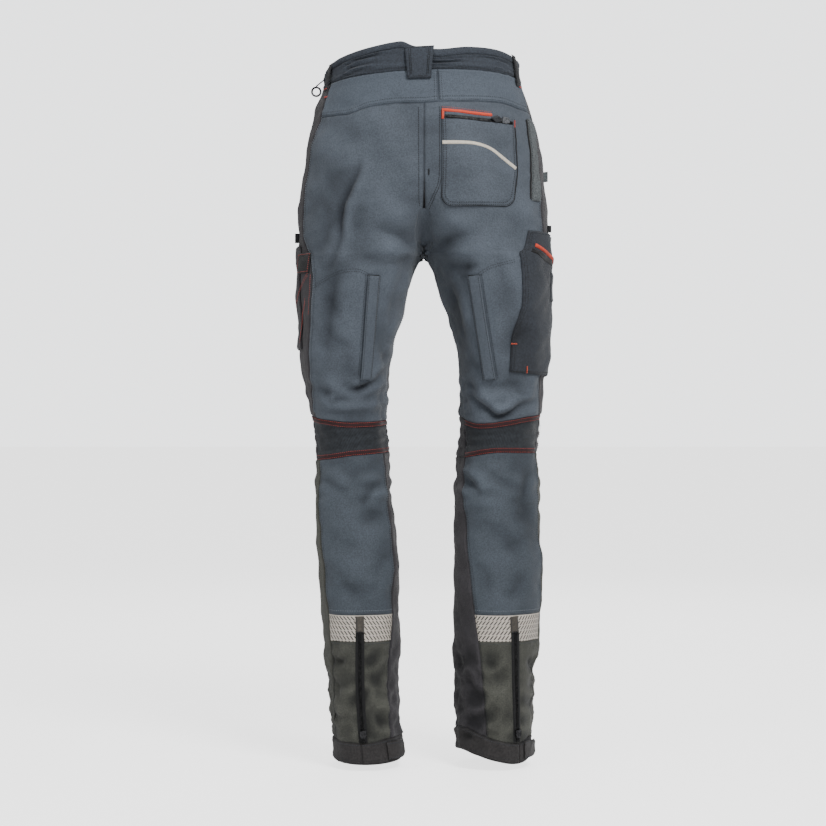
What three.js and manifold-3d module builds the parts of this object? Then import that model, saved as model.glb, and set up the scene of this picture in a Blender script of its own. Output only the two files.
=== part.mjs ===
// Chainsaw protective trousers, standing as if worn: a cloth shell of separate sewn panels with
// cut-protection pads inside, zips, vents, pockets, belt loops and hem tabs.
// Millimetres. +Z is up, +X the wearer's right, +Y the wearer's front.
// The origin is the centre of the waist opening.
import * as THREE from 'three';
import Module from 'manifold-3d';

const wasm = await Module();
wasm.setup();

// Overall sizes
const hipWidth = 370;
const hipDepth = 260;
const rise = 296; // waist opening down to the crotch
const legLength = 744; // crotch down to the hem
const backRise = 19; // how far the waist stands higher at the back and lower at the front
const waistTilt = 8; // how far the waist stands higher on the wearer's right

// Cloth and seams
const cloth = 2; // shell cloth
const seam = 1.2; // left between two panels sewn edge to edge, across the seam
const lap = 1.5; // left under a piece sewn on top
const patchCloth = 2; // pocket and flap cloth
const padThickness = 6;
const padClearance = 3; // shell to pad

// Heights of the seams, measured down from the origin at the side
const waistbandTop = 11;
const waistbandHeight = 34;
const yokeHeight = 38;
const kneeDrop = 268; // crotch to knee centre
const kneeBandHeight = 54;
const calfHeight = 230;
const reflectiveHeight = 38;
const cuffHeight = 33;

// Crotch gusset
const gussetRise = 110; // up the centre seams
const gussetDrop = 50; // down the inseams
const gussetTurn = 0.055; // half width at its corners, in turns of the leg
const archRadius = 4.7; // arch between the legs
const archSpread = 0.24; // how fast the inseams part below the arch
const blendHeight = 170; // height over which two legs become one trunk

// Seams round the leg, in turns: 0 inseam or centre front, 0.5 outer side, 1 back
const frontSeam = 0.4;
const backSeam = 0.585;
const shinSeam = 0.895;

// Small parts
const loopWidth = 12;
const centreLoopWidth = 34;
const loopBulge = 6.5;
const zipWidth = 8;
const zipSlot = 12;
const chainHeight = 1.4;
const sliderWidth = 9;
const sliderLength = 12;
const sliderHeight = 2.8;
const pullerGap = 1.3; // slider to the puller's pivot
const fit = 0.35; // between touching pieces
const flapWidth = 17;
const ventTop = 329;
const ventLength = 149;
const flyLength = 105;
const flyGap = 8; // half of the opening that the fly zip fills
const flyFlapWidth = 40;
const snapRadius = 8;
const pocketWidth = 105;
const pocketHeight = 126;
const pocketCorner = 17;
const pocketInset = 25; // centre back seam to pocket
const cargoTop = 263;
const cargoHeight = 207;
const sidePocketTop = 282;
const sidePocketHeight = 152;
const tabLength = 42;
const tabHeight = 25;
const ringRadius = 6.5;
const ringWire = 1.5;
const tapeStandOff = 2.2;

const crotch = -rise;
const hem = crotch - legLength;
const knee = crotch - kneeDrop;
const kneeTop = knee + kneeBandHeight / 2;
const kneeBottom = knee - kneeBandHeight / 2;
const bandTop = -waistbandTop;
const bandBottom = bandTop - waistbandHeight;
const yokeBottom = bandBottom - yokeHeight;
const calfBottom = kneeBottom - calfHeight;
const reflectiveBottom = calfBottom - reflectiveHeight;
const cuffTop = hem + cuffHeight;

// Smooth curve through [place, value] pairs, never overshooting
function profile(points) {
  const p = [...points].sort((a, b) => a[0] - b[0]);
  const step = p.slice(1).map((q, i) => (q[1] - p[i][1]) / (q[0] - p[i][0]));
  const slope = p.map((_, i) => {
    const before = step[Math.max(i - 1, 0)];
    const after = step[Math.min(i, step.length - 1)];
    return before * after <= 0 ? 0 : (2 * before * after) / (before + after);
  });
  return (z) => {
    const last = p.length - 1;
    const place = Math.min(Math.max(z, p[0][0]), p[last][0]);
    let i = 0;
    while (i < last - 1 && place > p[i + 1][0]) i += 1;
    const h = p[i + 1][0] - p[i][0];
    const t = (place - p[i][0]) / h;
    return (
      p[i][1] * (1 + 2 * t) * (1 - t) ** 2 +
      slope[i] * h * t * (1 - t) ** 2 +
      p[i + 1][1] * t * t * (3 - 2 * t) +
      slope[i + 1] * h * t * t * (t - 1)
    );
  };
}

const smooth = (t) => {
  const c = Math.min(Math.max(t, 0), 1);
  return c * c * (3 - 2 * c);
};
const mix = (a, b, t) => a + (b - a) * t;

// Outlines: [share of the rise down, then share of the leg down] against shares of half the hips
function outline(trunk, leg, size) {
  const upper = trunk.map(([f, s]) => [-rise * f, s * size]);
  const lower = leg.map(([f, s]) => [crotch - legLength * f, s * size]);
  return profile([...upper, ...lower]);
}

const halfWidth = hipWidth / 2;
const halfDepth = hipDepth / 2;
const trunkDepth = outline([[-0.04, 0.83], [0.27, 0.905], [0.54, 0.975], [0.85, 1], [1, 1]], [], halfDepth);
const trunkCentre = outline([[-0.04, 0], [0.27, -0.03], [0.54, -0.075], [0.85, -0.105]], [], halfDepth);
const legDepth = outline(
  [[0.5, 0.83]],
  [[0, 0.83], [0.167, 0.75], [0.315, 0.645], [0.368, 0.615], [0.61, 0.615], [0.81, 0.57], [1, 0.55]],
  halfDepth,
);
const legCentre = outline(
  [[0.5, -0.09]],
  [[0, -0.09], [0.167, -0.06], [0.315, 0], [0.368, 0.015], [0.489, -0.06], [0.61, -0.09], [1, -0.06]],
  halfDepth,
);

const left = {
  name: 'left',
  sign: -1,
  hemTurn: -0.015,
  outer: outline(
    [[-0.04, 0.765], [0.135, 0.8], [0.27, 0.885], [0.54, 0.955], [0.845, 1]],
    [[0.167, 1], [0.274, 0.946], [0.368, 0.87], [0.489, 0.865], [0.61, 0.838], [0.731, 0.805], [0.852, 0.768],
      [1, 0.724]],
    halfWidth,
  ),
  inner: outline(
    [],
    [[0.19, 0.34], [0.3, 0.318], [0.368, 0.292], [0.489, 0.243], [0.61, 0.184], [0.731, 0.184], [0.852, 0.205],
      [1, 0.168]],
    halfWidth,
  ),
};
const right = {
  name: 'right',
  sign: 1,
  hemTurn: -0.1,
  outer: outline(
    [[-0.04, 0.735], [0.135, 0.77], [0.27, 0.855], [0.54, 0.945], [0.845, 0.995]],
    [[0.167, 0.975], [0.274, 0.94], [0.368, 0.92], [0.489, 0.925], [0.61, 0.94], [0.731, 0.92], [0.852, 0.87],
      [1, 0.855]],
    halfWidth,
  ),
  inner: outline(
    [],
    [[0.19, 0.335], [0.3, 0.3], [0.368, 0.285], [0.489, 0.265], [0.61, 0.26], [0.731, 0.25], [1, 0.258]],
    halfWidth,
  ),
};
const sides = [left, right];

// Inseam: an arch just under the crotch that runs into the leg's own inner outline
function insideEdge(leg, z) {
  const drop = crotch - z;
  if (drop <= 0) return 0;
  const arch = Math.sqrt((archSpread * drop) ** 2 + 2 * archRadius * drop);
  return (arch ** -6 + leg.inner(z) ** -6) ** (-1 / 6);
}

// Rounded ring, a little squarer than an ellipse
function ring(angle, across, deep) {
  const c = Math.cos(angle);
  const s = Math.sin(angle);
  const r = (Math.abs(c) ** 2.3 + Math.abs(s) ** 2.3) ** (-1 / 2.3);
  return [across * r * c, deep * r * s];
}

const trunkShare = (z) => {
  const up = Math.min(Math.max((z - crotch) / blendHeight, 0), 1);
  return Math.sin((Math.PI / 2) * Math.sqrt(up));
};

const twist = (leg, z) => leg.hemTurn * smooth((kneeTop - z) / (kneeTop - hem));

// How far the waist edge is lifted: high at the back, low at the front
function lift(leg, z, turn) {
  const share = smooth((z - yokeBottom + 12) / (yokeBottom * -1 - 6));
  return share * (waistTilt * leg.sign * Math.sin(Math.PI * turn) - backRise * Math.cos(Math.PI * turn));
}

// Outside of the cloth at height z and turn: one leg's ring below, half the trunk's ring above
function shell(leg, z, turn) {
  const out = leg.outer(z);
  const inside = insideEdge(leg, z);
  const legTurn = turn + twist(leg, z);
  const [lx, ly] = ring(Math.PI * (1 - 2 * legTurn), (out - inside) / 2, legDepth(z));
  const [tx, ty] = ring(Math.PI * (0.5 - turn), out, trunkDepth(z));
  const share = trunkShare(z);
  const x = mix((out + inside) / 2 + lx, tx, share);
  const y = mix(legCentre(z) + ly, trunkCentre(z) + ty, share);
  return new THREE.Vector3(leg.sign * x, y, z + lift(leg, z, turn));
}

// A point in the middle of the leg or trunk at height z
function core(leg, z) {
  const share = trunkShare(z);
  const x = mix((leg.outer(z) + insideEdge(leg, z)) / 2, 0, share);
  return new THREE.Vector3(leg.sign * x, mix(legCentre(z), trunkCentre(z), share), z);
}

// The turn, on the back or the front, where the shell is x away from the middle plane
function turnAt(leg, z, x, back = true) {
  let near = back ? 1 : 0;
  let far = 0.5;
  for (let i = 0; i < 40; i += 1) {
    const middle = (near + far) / 2;
    if (Math.abs(shell(leg, z, middle).x) < x) near = middle;
    else far = middle;
  }
  return (near + far) / 2;
}

// Half width of the gusset at height z, in turns
function gussetEdge(z) {
  const up = z - crotch;
  if (up >= gussetRise || up <= -gussetDrop) return 0;
  if (up > gussetRise - gussetDrop) return gussetTurn * Math.sqrt((gussetRise - up) / gussetDrop);
  return gussetTurn * Math.sqrt((up + gussetDrop) / gussetRise);
}

// Rows that every panel shares, so that neighbouring panels bend at the same heights
const gussetSteps = [0, 0.3, 0.55, 0.78, 1];
const gussetRows = gussetSteps.flatMap((s) => [
  crotch + gussetRise - gussetDrop * s * s,
  crotch + gussetRise * s * s - gussetDrop,
]);
const flyTop = bandBottom - 8;
const flyBottom = flyTop - flyLength - 2;
const trunkRows = [...[0.34, 0.44].map((f) => -rise * f), flyBottom, flyBottom - 2];
const legRows = [0.14, 0.2, 0.26, 0.4, 0.48, 0.56, 0.62, 0.75, 0.81, 0.87, 0.93].map((f) => crotch - legLength * f);
const kneeRows = [kneeTop, knee, kneeBottom];
const allRows = [...trunkRows, ...gussetRows, crotch + 28, ...legRows, ...kneeRows].sort((a, b) => b - a);

function rows(top, bottom) {
  const between = allRows.filter((z) => z < top - 9 && z > bottom + 9);
  const kept = between.filter((z, i) => i === 0 || between[i - 1] - z > 1e-6);
  return [top, ...kept, bottom];
}

const steps = (from, to, count) => Array.from({ length: count + 1 }, (_, i) => mix(from, to, i / count));

// Closed sheet over the surface at(u, v): from `low` to `high` along the surface's outward normal.
// `turned(u, v)` says where a saddle needs its cells split along the other diagonal.
function sheet(at, us, vs, low, high, outward, closed = false, turned = () => false) {
  const value = (f, u, v) => (typeof f === 'function' ? f(u, v) : f);
  const du = (us[us.length - 1] - us[0]) * 1e-3;
  const dv = (vs[vs.length - 1] - vs[0]) * 1e-3;
  const cross = (u, v) => {
    const a = at(u + du, v).sub(at(u - du, v));
    const b = at(u, v + dv).sub(at(u, v - dv));
    return a.cross(b).normalize();
  };
  const uMiddle = us[Math.floor(us.length / 2)];
  const vMiddle = vs[Math.floor(vs.length / 2)];
  const flip = cross(uMiddle, vMiddle).dot(outward(at(uMiddle, vMiddle), uMiddle, vMiddle)) < 0 ? -1 : 1;
  const columns = closed ? us.length - 1 : us.length;
  const position = [];
  for (const f of [high, low]) {
    for (const v of vs) {
      for (const u of us.slice(0, columns)) {
        const n = cross(u, v).multiplyScalar(flip * value(f, u, v));
        position.push(...at(u, v).add(n).toArray());
      }
    }
  }
  const layer = columns * vs.length;
  const index = [];
  const face = (a, b, c, d) => {
    if (flip > 0) index.push(a, b, c, a, c, d);
    else index.push(a, c, b, a, d, c);
  };
  const id = (i, j) => j * columns + (i % columns);
  for (let j = 0; j < vs.length - 1; j += 1) {
    for (let i = 0; i < us.length - 1; i += 1) {
      const [a, b, c, d] = [id(i, j), id(i + 1, j), id(i + 1, j + 1), id(i, j + 1)];
      if (turned((us[i] + us[i + 1]) / 2, (vs[j] + vs[j + 1]) / 2)) {
        face(b, c, d, a);
        face(layer + b, layer + a, layer + d, layer + c);
        continue;
      }
      face(a, b, c, d);
      face(layer + a, layer + d, layer + c, layer + b);
    }
  }
  const edge = (a, b) => face(b, a, layer + a, layer + b);
  for (let i = 0; i < us.length - 1; i += 1) {
    edge(id(i, 0), id(i + 1, 0));
    edge(id(i + 1, vs.length - 1), id(i, vs.length - 1));
  }
  if (!closed) {
    for (let j = 0; j < vs.length - 1; j += 1) {
      edge(id(us.length - 1, j), id(us.length - 1, j + 1));
      edge(id(0, j + 1), id(0, j));
    }
  }
  const geometry = new THREE.BufferGeometry();
  geometry.setAttribute('position', new THREE.Float32BufferAttribute(position, 3));
  geometry.setIndex(index);
  return geometry;
}

// Panel of one leg between two seams, each a turn that may depend on the height
function panel(leg, top, bottom, from, to, columns, high = 0, thickness = cloth) {
  const turn = (f, z) => (typeof f === 'function' ? f(z) : f);
  const at = (u, z) => shell(leg, z, mix(turn(from, z), turn(to, z), u));
  const outward = (p, u, z) => p.clone().sub(core(leg, z));
  return sheet(at, steps(0, 1, columns), rows(top, bottom), high - thickness, high, outward);
}

// Half a seam, in turns of the trunk and of a leg
const seamTurn = seam / 2 / 480;
const gussetSeam = 6; // the felled gusset seams are this many times as wide

// Closed prism on an outline in the plane (across, along), raised from low to high along the normal
function raised(points, place, along, normal, low, high) {
  const shape = new THREE.Shape(points.map(([x, y]) => new THREE.Vector2(x, y)));
  const geometry = new THREE.ExtrudeGeometry(shape, { depth: high - low, bevelEnabled: false });
  const t = along.clone().normalize();
  const w = t.clone().cross(normal).normalize();
  const n = w.clone().cross(t);
  const frame = new THREE.Matrix4().makeBasis(w, t, n).setPosition(place.clone().addScaledVector(n, low));
  return geometry.applyMatrix4(frame);
}

function bar(from, to, normal, width, low, high) {
  const length = to.distanceTo(from);
  const half = width / 2;
  const points = [[-half, 0], [half, 0], [half, length], [-half, length]];
  return raised(points, from, to.clone().sub(from), normal, low, high);
}

const sliderOutline = [
  [-sliderWidth / 2, -sliderLength / 2],
  [sliderWidth / 2, -sliderLength / 2],
  [sliderWidth / 2, sliderLength * 0.15],
  [sliderWidth * 0.28, sliderLength / 2],
  [-sliderWidth * 0.28, sliderLength / 2],
  [-sliderWidth / 2, sliderLength * 0.15],
];

function solid(geometry) {
  const g = geometry.index ? geometry : null;
  return new wasm.Manifold(
    new wasm.Mesh({
      numProp: 3,
      vertProperties: new Float32Array(g.attributes.position.array),
      triVerts: new Uint32Array(g.index.array),
    }),
  );
}

// Slot cut through a panel for a zip that runs from one point to another
function withSlot(geometry, from, to, normal, width, over = 0) {
  const t = to.clone().sub(from).normalize();
  const w = t.clone().cross(normal).normalize();
  const n = w.clone().cross(t);
  const corner = (a, b, c) =>
    (b < 0 ? from.clone().addScaledVector(t, -over) : to.clone().addScaledVector(t, over))
      .addScaledVector(w, (a * width) / 2)
      .addScaledVector(n, c * 14)
      .toArray();
  const position = [-1, 1].flatMap((c) => [-1, 1].flatMap((b) => [-1, 1].flatMap((a) => corner(a, b, c))));
  const index = [0, 2, 1, 1, 2, 3, 4, 5, 6, 5, 7, 6, 0, 1, 4, 1, 5, 4, 2, 6, 3, 3, 6, 7, 0, 4, 2, 2, 4, 6, 1, 3, 5, 3, 7, 5];
  const box = new THREE.BufferGeometry();
  box.setAttribute('position', new THREE.Float32BufferAttribute(position, 3));
  box.setIndex(index);
  const result = solid(geometry).subtract(solid(box)).getMesh();
  const cut = new THREE.BufferGeometry();
  cut.setAttribute('position', new THREE.Float32BufferAttribute(result.vertProperties, 3));
  cut.setIndex(new THREE.Uint32BufferAttribute(result.triVerts, 1));
  return cut;
}

// Finishes
const finish = (color, roughness, metalness = 0) =>
  new THREE.MeshStandardMaterial({ color, roughness, metalness });
const slate = finish(0x5b636b, 0.85);
const yokeSlate = finish(0x68757f, 0.85);
const charcoal = finish(0x37363a, 0.85);
const bandCloth = finish(0x3c4148, 0.8);
const stretchKnit = finish(0x2f3237, 0.9);
const greyGreen = finish(0x4c4d48, 0.9);
const reflective = finish(0xa29b91, 0.4);
const liningCloth = finish(0x4a4d50, 0.9);
const padFill = finish(0x8a8a84, 0.95);
const zipBlack = finish(0x222422, 0.5);
const metal = finish(0x3a3b3c, 0.35, 0.8);

const group = new THREE.Group();

function add(name, geometry, material) {
  const mesh = new THREE.Mesh(geometry, material);
  mesh.name = name;
  group.add(mesh);
}

// Signed turn round the whole waist: 0 at the centre back, negative on the wearer's left
const roundBack = (s, z) => shell(s < 0 ? left : right, z, 1 - Math.abs(s));
const fromMiddle = (p) => new THREE.Vector3(p.x, p.y - trunkCentre(p.z), 0);

function waistband() {
  const end = 1 - turnAt(left, bandTop, flyGap, false);
  const us = steps(-end, end, 44);
  const at = (s, z) => roundBack(s, z);
  add('waistband', sheet(at, us, [bandTop, (bandTop + bandBottom) / 2, bandBottom], -1.5, 1.5, fromMiddle), bandCloth);
  const low = -1.5 - lap - 1.5;
  add('waistband_lining', sheet(at, us, [bandTop + 3, bandBottom + 4], low, low + 1.5, fromMiddle), liningCloth);
}

// Strap over the waistband that stands off in the middle, so that a belt passes under it
function beltLoop(name, leg, turn, width) {
  const span = width / 2 / 470;
  const top = bandTop - 2;
  const bottom = bandBottom - 8;
  const at = (s, z) => roundBack(leg.sign * (1 - turn) + s, z);
  const stand = (s, z) => 1.5 + fit + loopBulge * Math.sin((Math.PI * (top - z)) / (top - bottom)) ** 0.6;
  const vs = steps(top, bottom, 8);
  const us = steps(-span, span, width > 20 ? 3 : 1);
  add(name, sheet(at, us, vs, stand, (s, z) => stand(s, z) + 1.5, fromMiddle), bandCloth);
}

// Front closing tab of the waistband, sewn on the wearer's left and snapped on the right
function waistTab() {
  const reach = (x) => (Math.abs(x) < 0.01 ? 0 : turnAt(x < 0 ? left : right, bandTop, Math.abs(x), false));
  const at = (x, z) => shell(x < 0 ? left : right, z, reach(x));
  const xs = [-26, -13, -0.5, 12, 24, 34];
  const zs = [bandTop - 2, bandBottom + 2];
  add('waist_tab', sheet(at, xs, zs, 1.5 + fit, 3.3 + fit, fromMiddle), bandCloth);
  const middle = (bandTop + bandBottom) / 2;
  const place = at(24, middle);
  const normal = at(25, middle).sub(at(23, middle)).cross(new THREE.Vector3(0, 0, -1)).normalize();
  const circle = steps(0, 2 * Math.PI, 20).slice(0, 20);
  const outlinePoints = circle.map((a) => [snapRadius * Math.cos(a), snapRadius * Math.sin(a)]);
  if (normal.y < 0) normal.negate();
  const low = 4.3 + fit;
  add('waist_snap', raised(outlinePoints, place, new THREE.Vector3(0, 0, 1), normal, low, low + 2.5), metal);
}

const flyNormal = new THREE.Vector3(0, 1, 0);

function fly() {
  const top = shell(left, flyTop, 0);
  const bottom = shell(left, flyTop - flyLength, 0);
  add('fly_zip_chain', bar(top, bottom, flyNormal, 2 * flyGap - 3, -chainHeight, 0), zipBlack);
  const along = bottom.clone().sub(top).normalize();
  const place = top.clone().addScaledVector(along, sliderLength / 2 + 1);
  add('fly_zip_slider', raised(sliderOutline, place, along, flyNormal, fit, fit + sliderHeight), metal);
  const pull = [[-2.5, 0], [2.5, 0], [3, 13], [1.5, 16], [-1.5, 16], [-3, 13]];
  const start = place.clone().addScaledVector(along, sliderLength / 2 + pullerGap);
  add('fly_zip_puller', raised(pull, start, along, flyNormal, fit + 0.6, fit + 2.2), metal);
  const at = (x, z) => {
    const leg = x < 0 ? left : right;
    return shell(leg, z, Math.abs(x) < 0.01 ? 0 : turnAt(leg, z, Math.abs(x), false));
  };
  const xs = steps(-28, flyFlapWidth - 28, 6);
  const zs = steps(bandBottom - 3, flyTop - flyLength - 6, 5);
  const stand = (x) => lap + 4.6 * smooth((x + 28) / 14);
  add('fly_flap', sheet(at, xs, zs, stand, (x) => stand(x) + patchCloth, fromMiddle), charcoal);
}

// Vent line of a leg: from the seat down the back of the thigh
function ventEnds(leg) {
  const lean = leg === left ? [73, 86] : [72, 96];
  const top = -ventTop;
  const bottom = top - ventLength;
  const [from, to] = [[top, lean[0]], [bottom, lean[1]]].map(([z, x]) => shell(leg, z, turnAt(leg, z, x)));
  const middle = from.clone().add(to).multiplyScalar(0.5);
  const turn = turnAt(leg, middle.z, Math.abs(middle.x));
  const across = shell(leg, middle.z, turn + 0.01).sub(shell(leg, middle.z, turn - 0.01));
  const normal = across.cross(to.clone().sub(from)).normalize();
  if (normal.dot(middle.clone().sub(core(leg, middle.z))) < 0) normal.negate();
  return { from, to, normal };
}

function seat(leg) {
  const gap = seamTurn;
  const vent = ventEnds(leg);
  const inner = (z) => 1 - gussetEdge(z) - (gussetEdge(z) > 0 ? gussetSeam : 1) * gap;
  const back = panel(leg, yokeBottom - seam, kneeTop + seam, backSeam + gap, inner, 9);
  const along = vent.to.clone().sub(vent.from).normalize();
  const start = vent.from.clone().addScaledVector(along, 5);
  const end = vent.to.clone().addScaledVector(along, -5);
  add(`back_panel_${leg.name}`, withSlot(back, start, end, vent.normal, zipSlot, 1), slate);
  add(`vent_zip_${leg.name}`, bar(start, end, vent.normal, zipWidth, -0.6 - chainHeight, -0.6), zipBlack);
  const place = start.clone().addScaledVector(along, sliderLength / 2 + 1);
  const low = -0.6 + fit;
  add(`vent_slider_${leg.name}`, raised(sliderOutline, place, along, vent.normal, low, low + sliderHeight), metal);
  const stand = low + sliderHeight + 0.6;
  add(`vent_flap_${leg.name}`, bar(vent.from, vent.to, vent.normal, flapWidth, stand, stand + patchCloth), slate);
}

function front(leg) {
  const gap = seamTurn;
  const centre = (z) => {
    const closed = gussetEdge(z) + (gussetEdge(z) > 0 ? gussetSeam : 1) * gap;
    return z >= flyBottom ? turnAt(leg, z, flyGap, false) : closed;
  };
  add(
    `front_panel_${leg.name}`,
    panel(leg, bandBottom - seam, kneeTop + seam, centre, frontSeam - gap, 9),
    charcoal,
  );
  add(
    `side_panel_${leg.name}`,
    panel(leg, bandBottom - seam, kneeTop + seam, frontSeam + gap, backSeam - gap, 4),
    charcoal,
  );
}

// Two yokes over the seat; their seam stands off the centre, on the wearer's right
function yokes() {
  const seamOffset = 20 / 480;
  const gap = seamTurn;
  const vs = [bandBottom - seam, (bandBottom + yokeBottom) / 2, yokeBottom + seam / 2];
  const side = 1 - backSeam;
  const leftSpan = steps(-side + gap, seamOffset - gap, 10);
  const rightSpan = steps(seamOffset + gap, side - gap, 8);
  add('back_yoke_left', sheet(roundBack, leftSpan, vs, -cloth, 0, fromMiddle), yokeSlate);
  add('back_yoke_right', sheet(roundBack, rightSpan, vs, -cloth, 0, fromMiddle), yokeSlate);
}

// Four-sided saddle under the crotch, between the two fronts and the two backs
function gusset() {
  const at = (u, v) => {
    const z = crotch + gussetRise * v * v - gussetDrop * u * u;
    const turn = gussetTurn * Math.abs(u) * v;
    return shell(u < 0 ? left : right, z, v < 0 ? 1 + turn : turn);
  };
  const all = [...gussetSteps.slice(1).reverse().map((s) => -s), ...gussetSteps];
  const down = () => new THREE.Vector3(0, 0, -1);
  const crossing = (u, v) => u * v < 0;
  add('crotch_gusset', sheet(at, all, all, -cloth, 0, down, false, crossing), greyGreen);
}

function pad(leg) {
  const top = crotch - 36;
  const bottom = cuffTop + 12;
  const high = -cloth - padClearance;
  add(`cut_pad_${leg.name}`, panel(leg, top, bottom, 0.07, 0.37, 6, high, padThickness), padFill);
}

function kneePieces(leg) {
  const gap = seamTurn;
  const top = kneeTop - seam / 2;
  const bottom = kneeBottom + seam / 2;
  add(`knee_band_${leg.name}`, panel(leg, top, bottom, 0.5 + gap, 1 - gap, 9), stretchKnit);
  add(`knee_front_${leg.name}`, panel(leg, top, bottom, gap, 0.5 - gap, 9), stretchKnit);
}

// Straight line of the ankle zip on the back of the lower leg
function ankleEnds(leg) {
  const turn = 0.755;
  const from = shell(leg, calfBottom - 24, turn);
  const to = shell(leg, cuffTop - 4, turn);
  const middle = (calfBottom - 24 + cuffTop) / 2;
  const across = shell(leg, middle, turn + 0.01).sub(shell(leg, middle, turn - 0.01));
  const normal = across.cross(to.clone().sub(from)).normalize();
  if (normal.dot(shell(leg, middle, turn).sub(core(leg, middle))) < 0) normal.negate();
  return { from, to, normal };
}

function lowerLeg(leg) {
  const gap = seamTurn;
  const top = kneeBottom - seam;
  const low = cuffTop + seam;
  const calf = panel(leg, top, calfBottom + seam, backSeam + gap, shinSeam - gap, 7);
  add(`calf_panel_${leg.name}`, calf, slate);
  const strip = panel(leg, top, low, 0.5 + gap, backSeam - gap, 3);
  add(`shank_strip_${leg.name}`, strip, greyGreen);
  const shin = panel(leg, top, low, shinSeam - 1 + gap, 0.5 - gap, 12);
  add(`shin_panel_${leg.name}`, shin, charcoal);
  const shine = panel(leg, calfBottom, reflectiveBottom + seam, backSeam + gap, shinSeam - gap, 9);
  add(`reflective_band_${leg.name}`, shine, reflective);
  const gaiter = panel(leg, reflectiveBottom, low, backSeam + gap, shinSeam - gap, 9);
  add(`gaiter_${leg.name}`, gaiter, greyGreen);
}

function ankleZip(leg) {
  const zip = ankleEnds(leg);
  const along = zip.to.clone().sub(zip.from).normalize();
  const from = zip.from.clone().addScaledVector(along, 3);
  const to = zip.to.clone().addScaledVector(along, -10);
  add(`ankle_zip_${leg.name}`, bar(from, to, zip.normal, zipWidth, lap, lap + chainHeight), zipBlack);
  const place = to.clone().addScaledVector(along, -sliderLength / 2 - 1);
  const low = lap + chainHeight + fit;
  add(`ankle_slider_${leg.name}`, raised(sliderOutline, place, along, zip.normal, low, low + sliderHeight), metal);
}

function hemCuff(leg) {
  const at = (u, z) => shell(leg, z, u);
  const outward = (p, u, z) => p.clone().sub(core(leg, z));
  const us = steps(0, 1, 26);
  const vs = [cuffTop, (cuffTop + hem) / 2, hem];
  add(`hem_cuff_${leg.name}`, sheet(at, us, vs, -cloth, 0.5, outward, true), charcoal);
}

// Hook-and-loop tab on the cuff; its free end stands off a little
function hemTab(leg) {
  const start = leg === left ? 0.86 : 0.72;
  const way = leg === left ? 1 : -1;
  const middle = (cuffTop + hem) / 2 + 3;
  const around = 400;
  const at = (s, z) => shell(leg, z, start + (way * s) / around);
  const narrowing = (s, z) => mix(z, middle, s > tabLength - 7 ? 0.22 : 0);
  const shaped = (s, z) => at(s, narrowing(s, z));
  const outward = (p, s, z) => p.clone().sub(core(leg, z));
  const stand = (s) => 0.5 + lap + 4 * (s / tabLength) ** 2;
  const us = [...steps(0, tabLength - 8, 4), tabLength - 3, tabLength];
  const vs = [middle + tabHeight / 2, middle - tabHeight / 2];
  add(`hem_tab_${leg.name}`, sheet(shaped, us, vs, stand, (s) => stand(s) + 1.8, outward), charcoal);
}

// Circle through three points: its centre, axis and the angle to each point
function arcThrough(a, b, c) {
  const ab = b.clone().sub(a);
  const ac = c.clone().sub(a);
  const axis = ab.clone().cross(ac);
  const size = axis.lengthSq();
  const toCentre = axis
    .clone()
    .cross(ab)
    .multiplyScalar(ac.lengthSq())
    .add(ac.clone().cross(axis).multiplyScalar(ab.lengthSq()))
    .divideScalar(2 * size);
  return { centre: a.clone().add(toCentre), axis: axis.normalize() };
}

// Back pocket on the wearer's right: a zip across its top on one arc, and the pocket below it
const pocketTop = yokeBottom - 20;

function pocketZipArc() {
  const ends = [3, pocketWidth / 2, pocketWidth - 3];
  const slope = 0.08;
  const points = ends.map((s) => {
    const z = pocketTop + 6 - slope * s;
    return shell(right, z, turnAt(right, z, pocketInset + s));
  });
  return { points, ...arcThrough(...points) };
}

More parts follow.
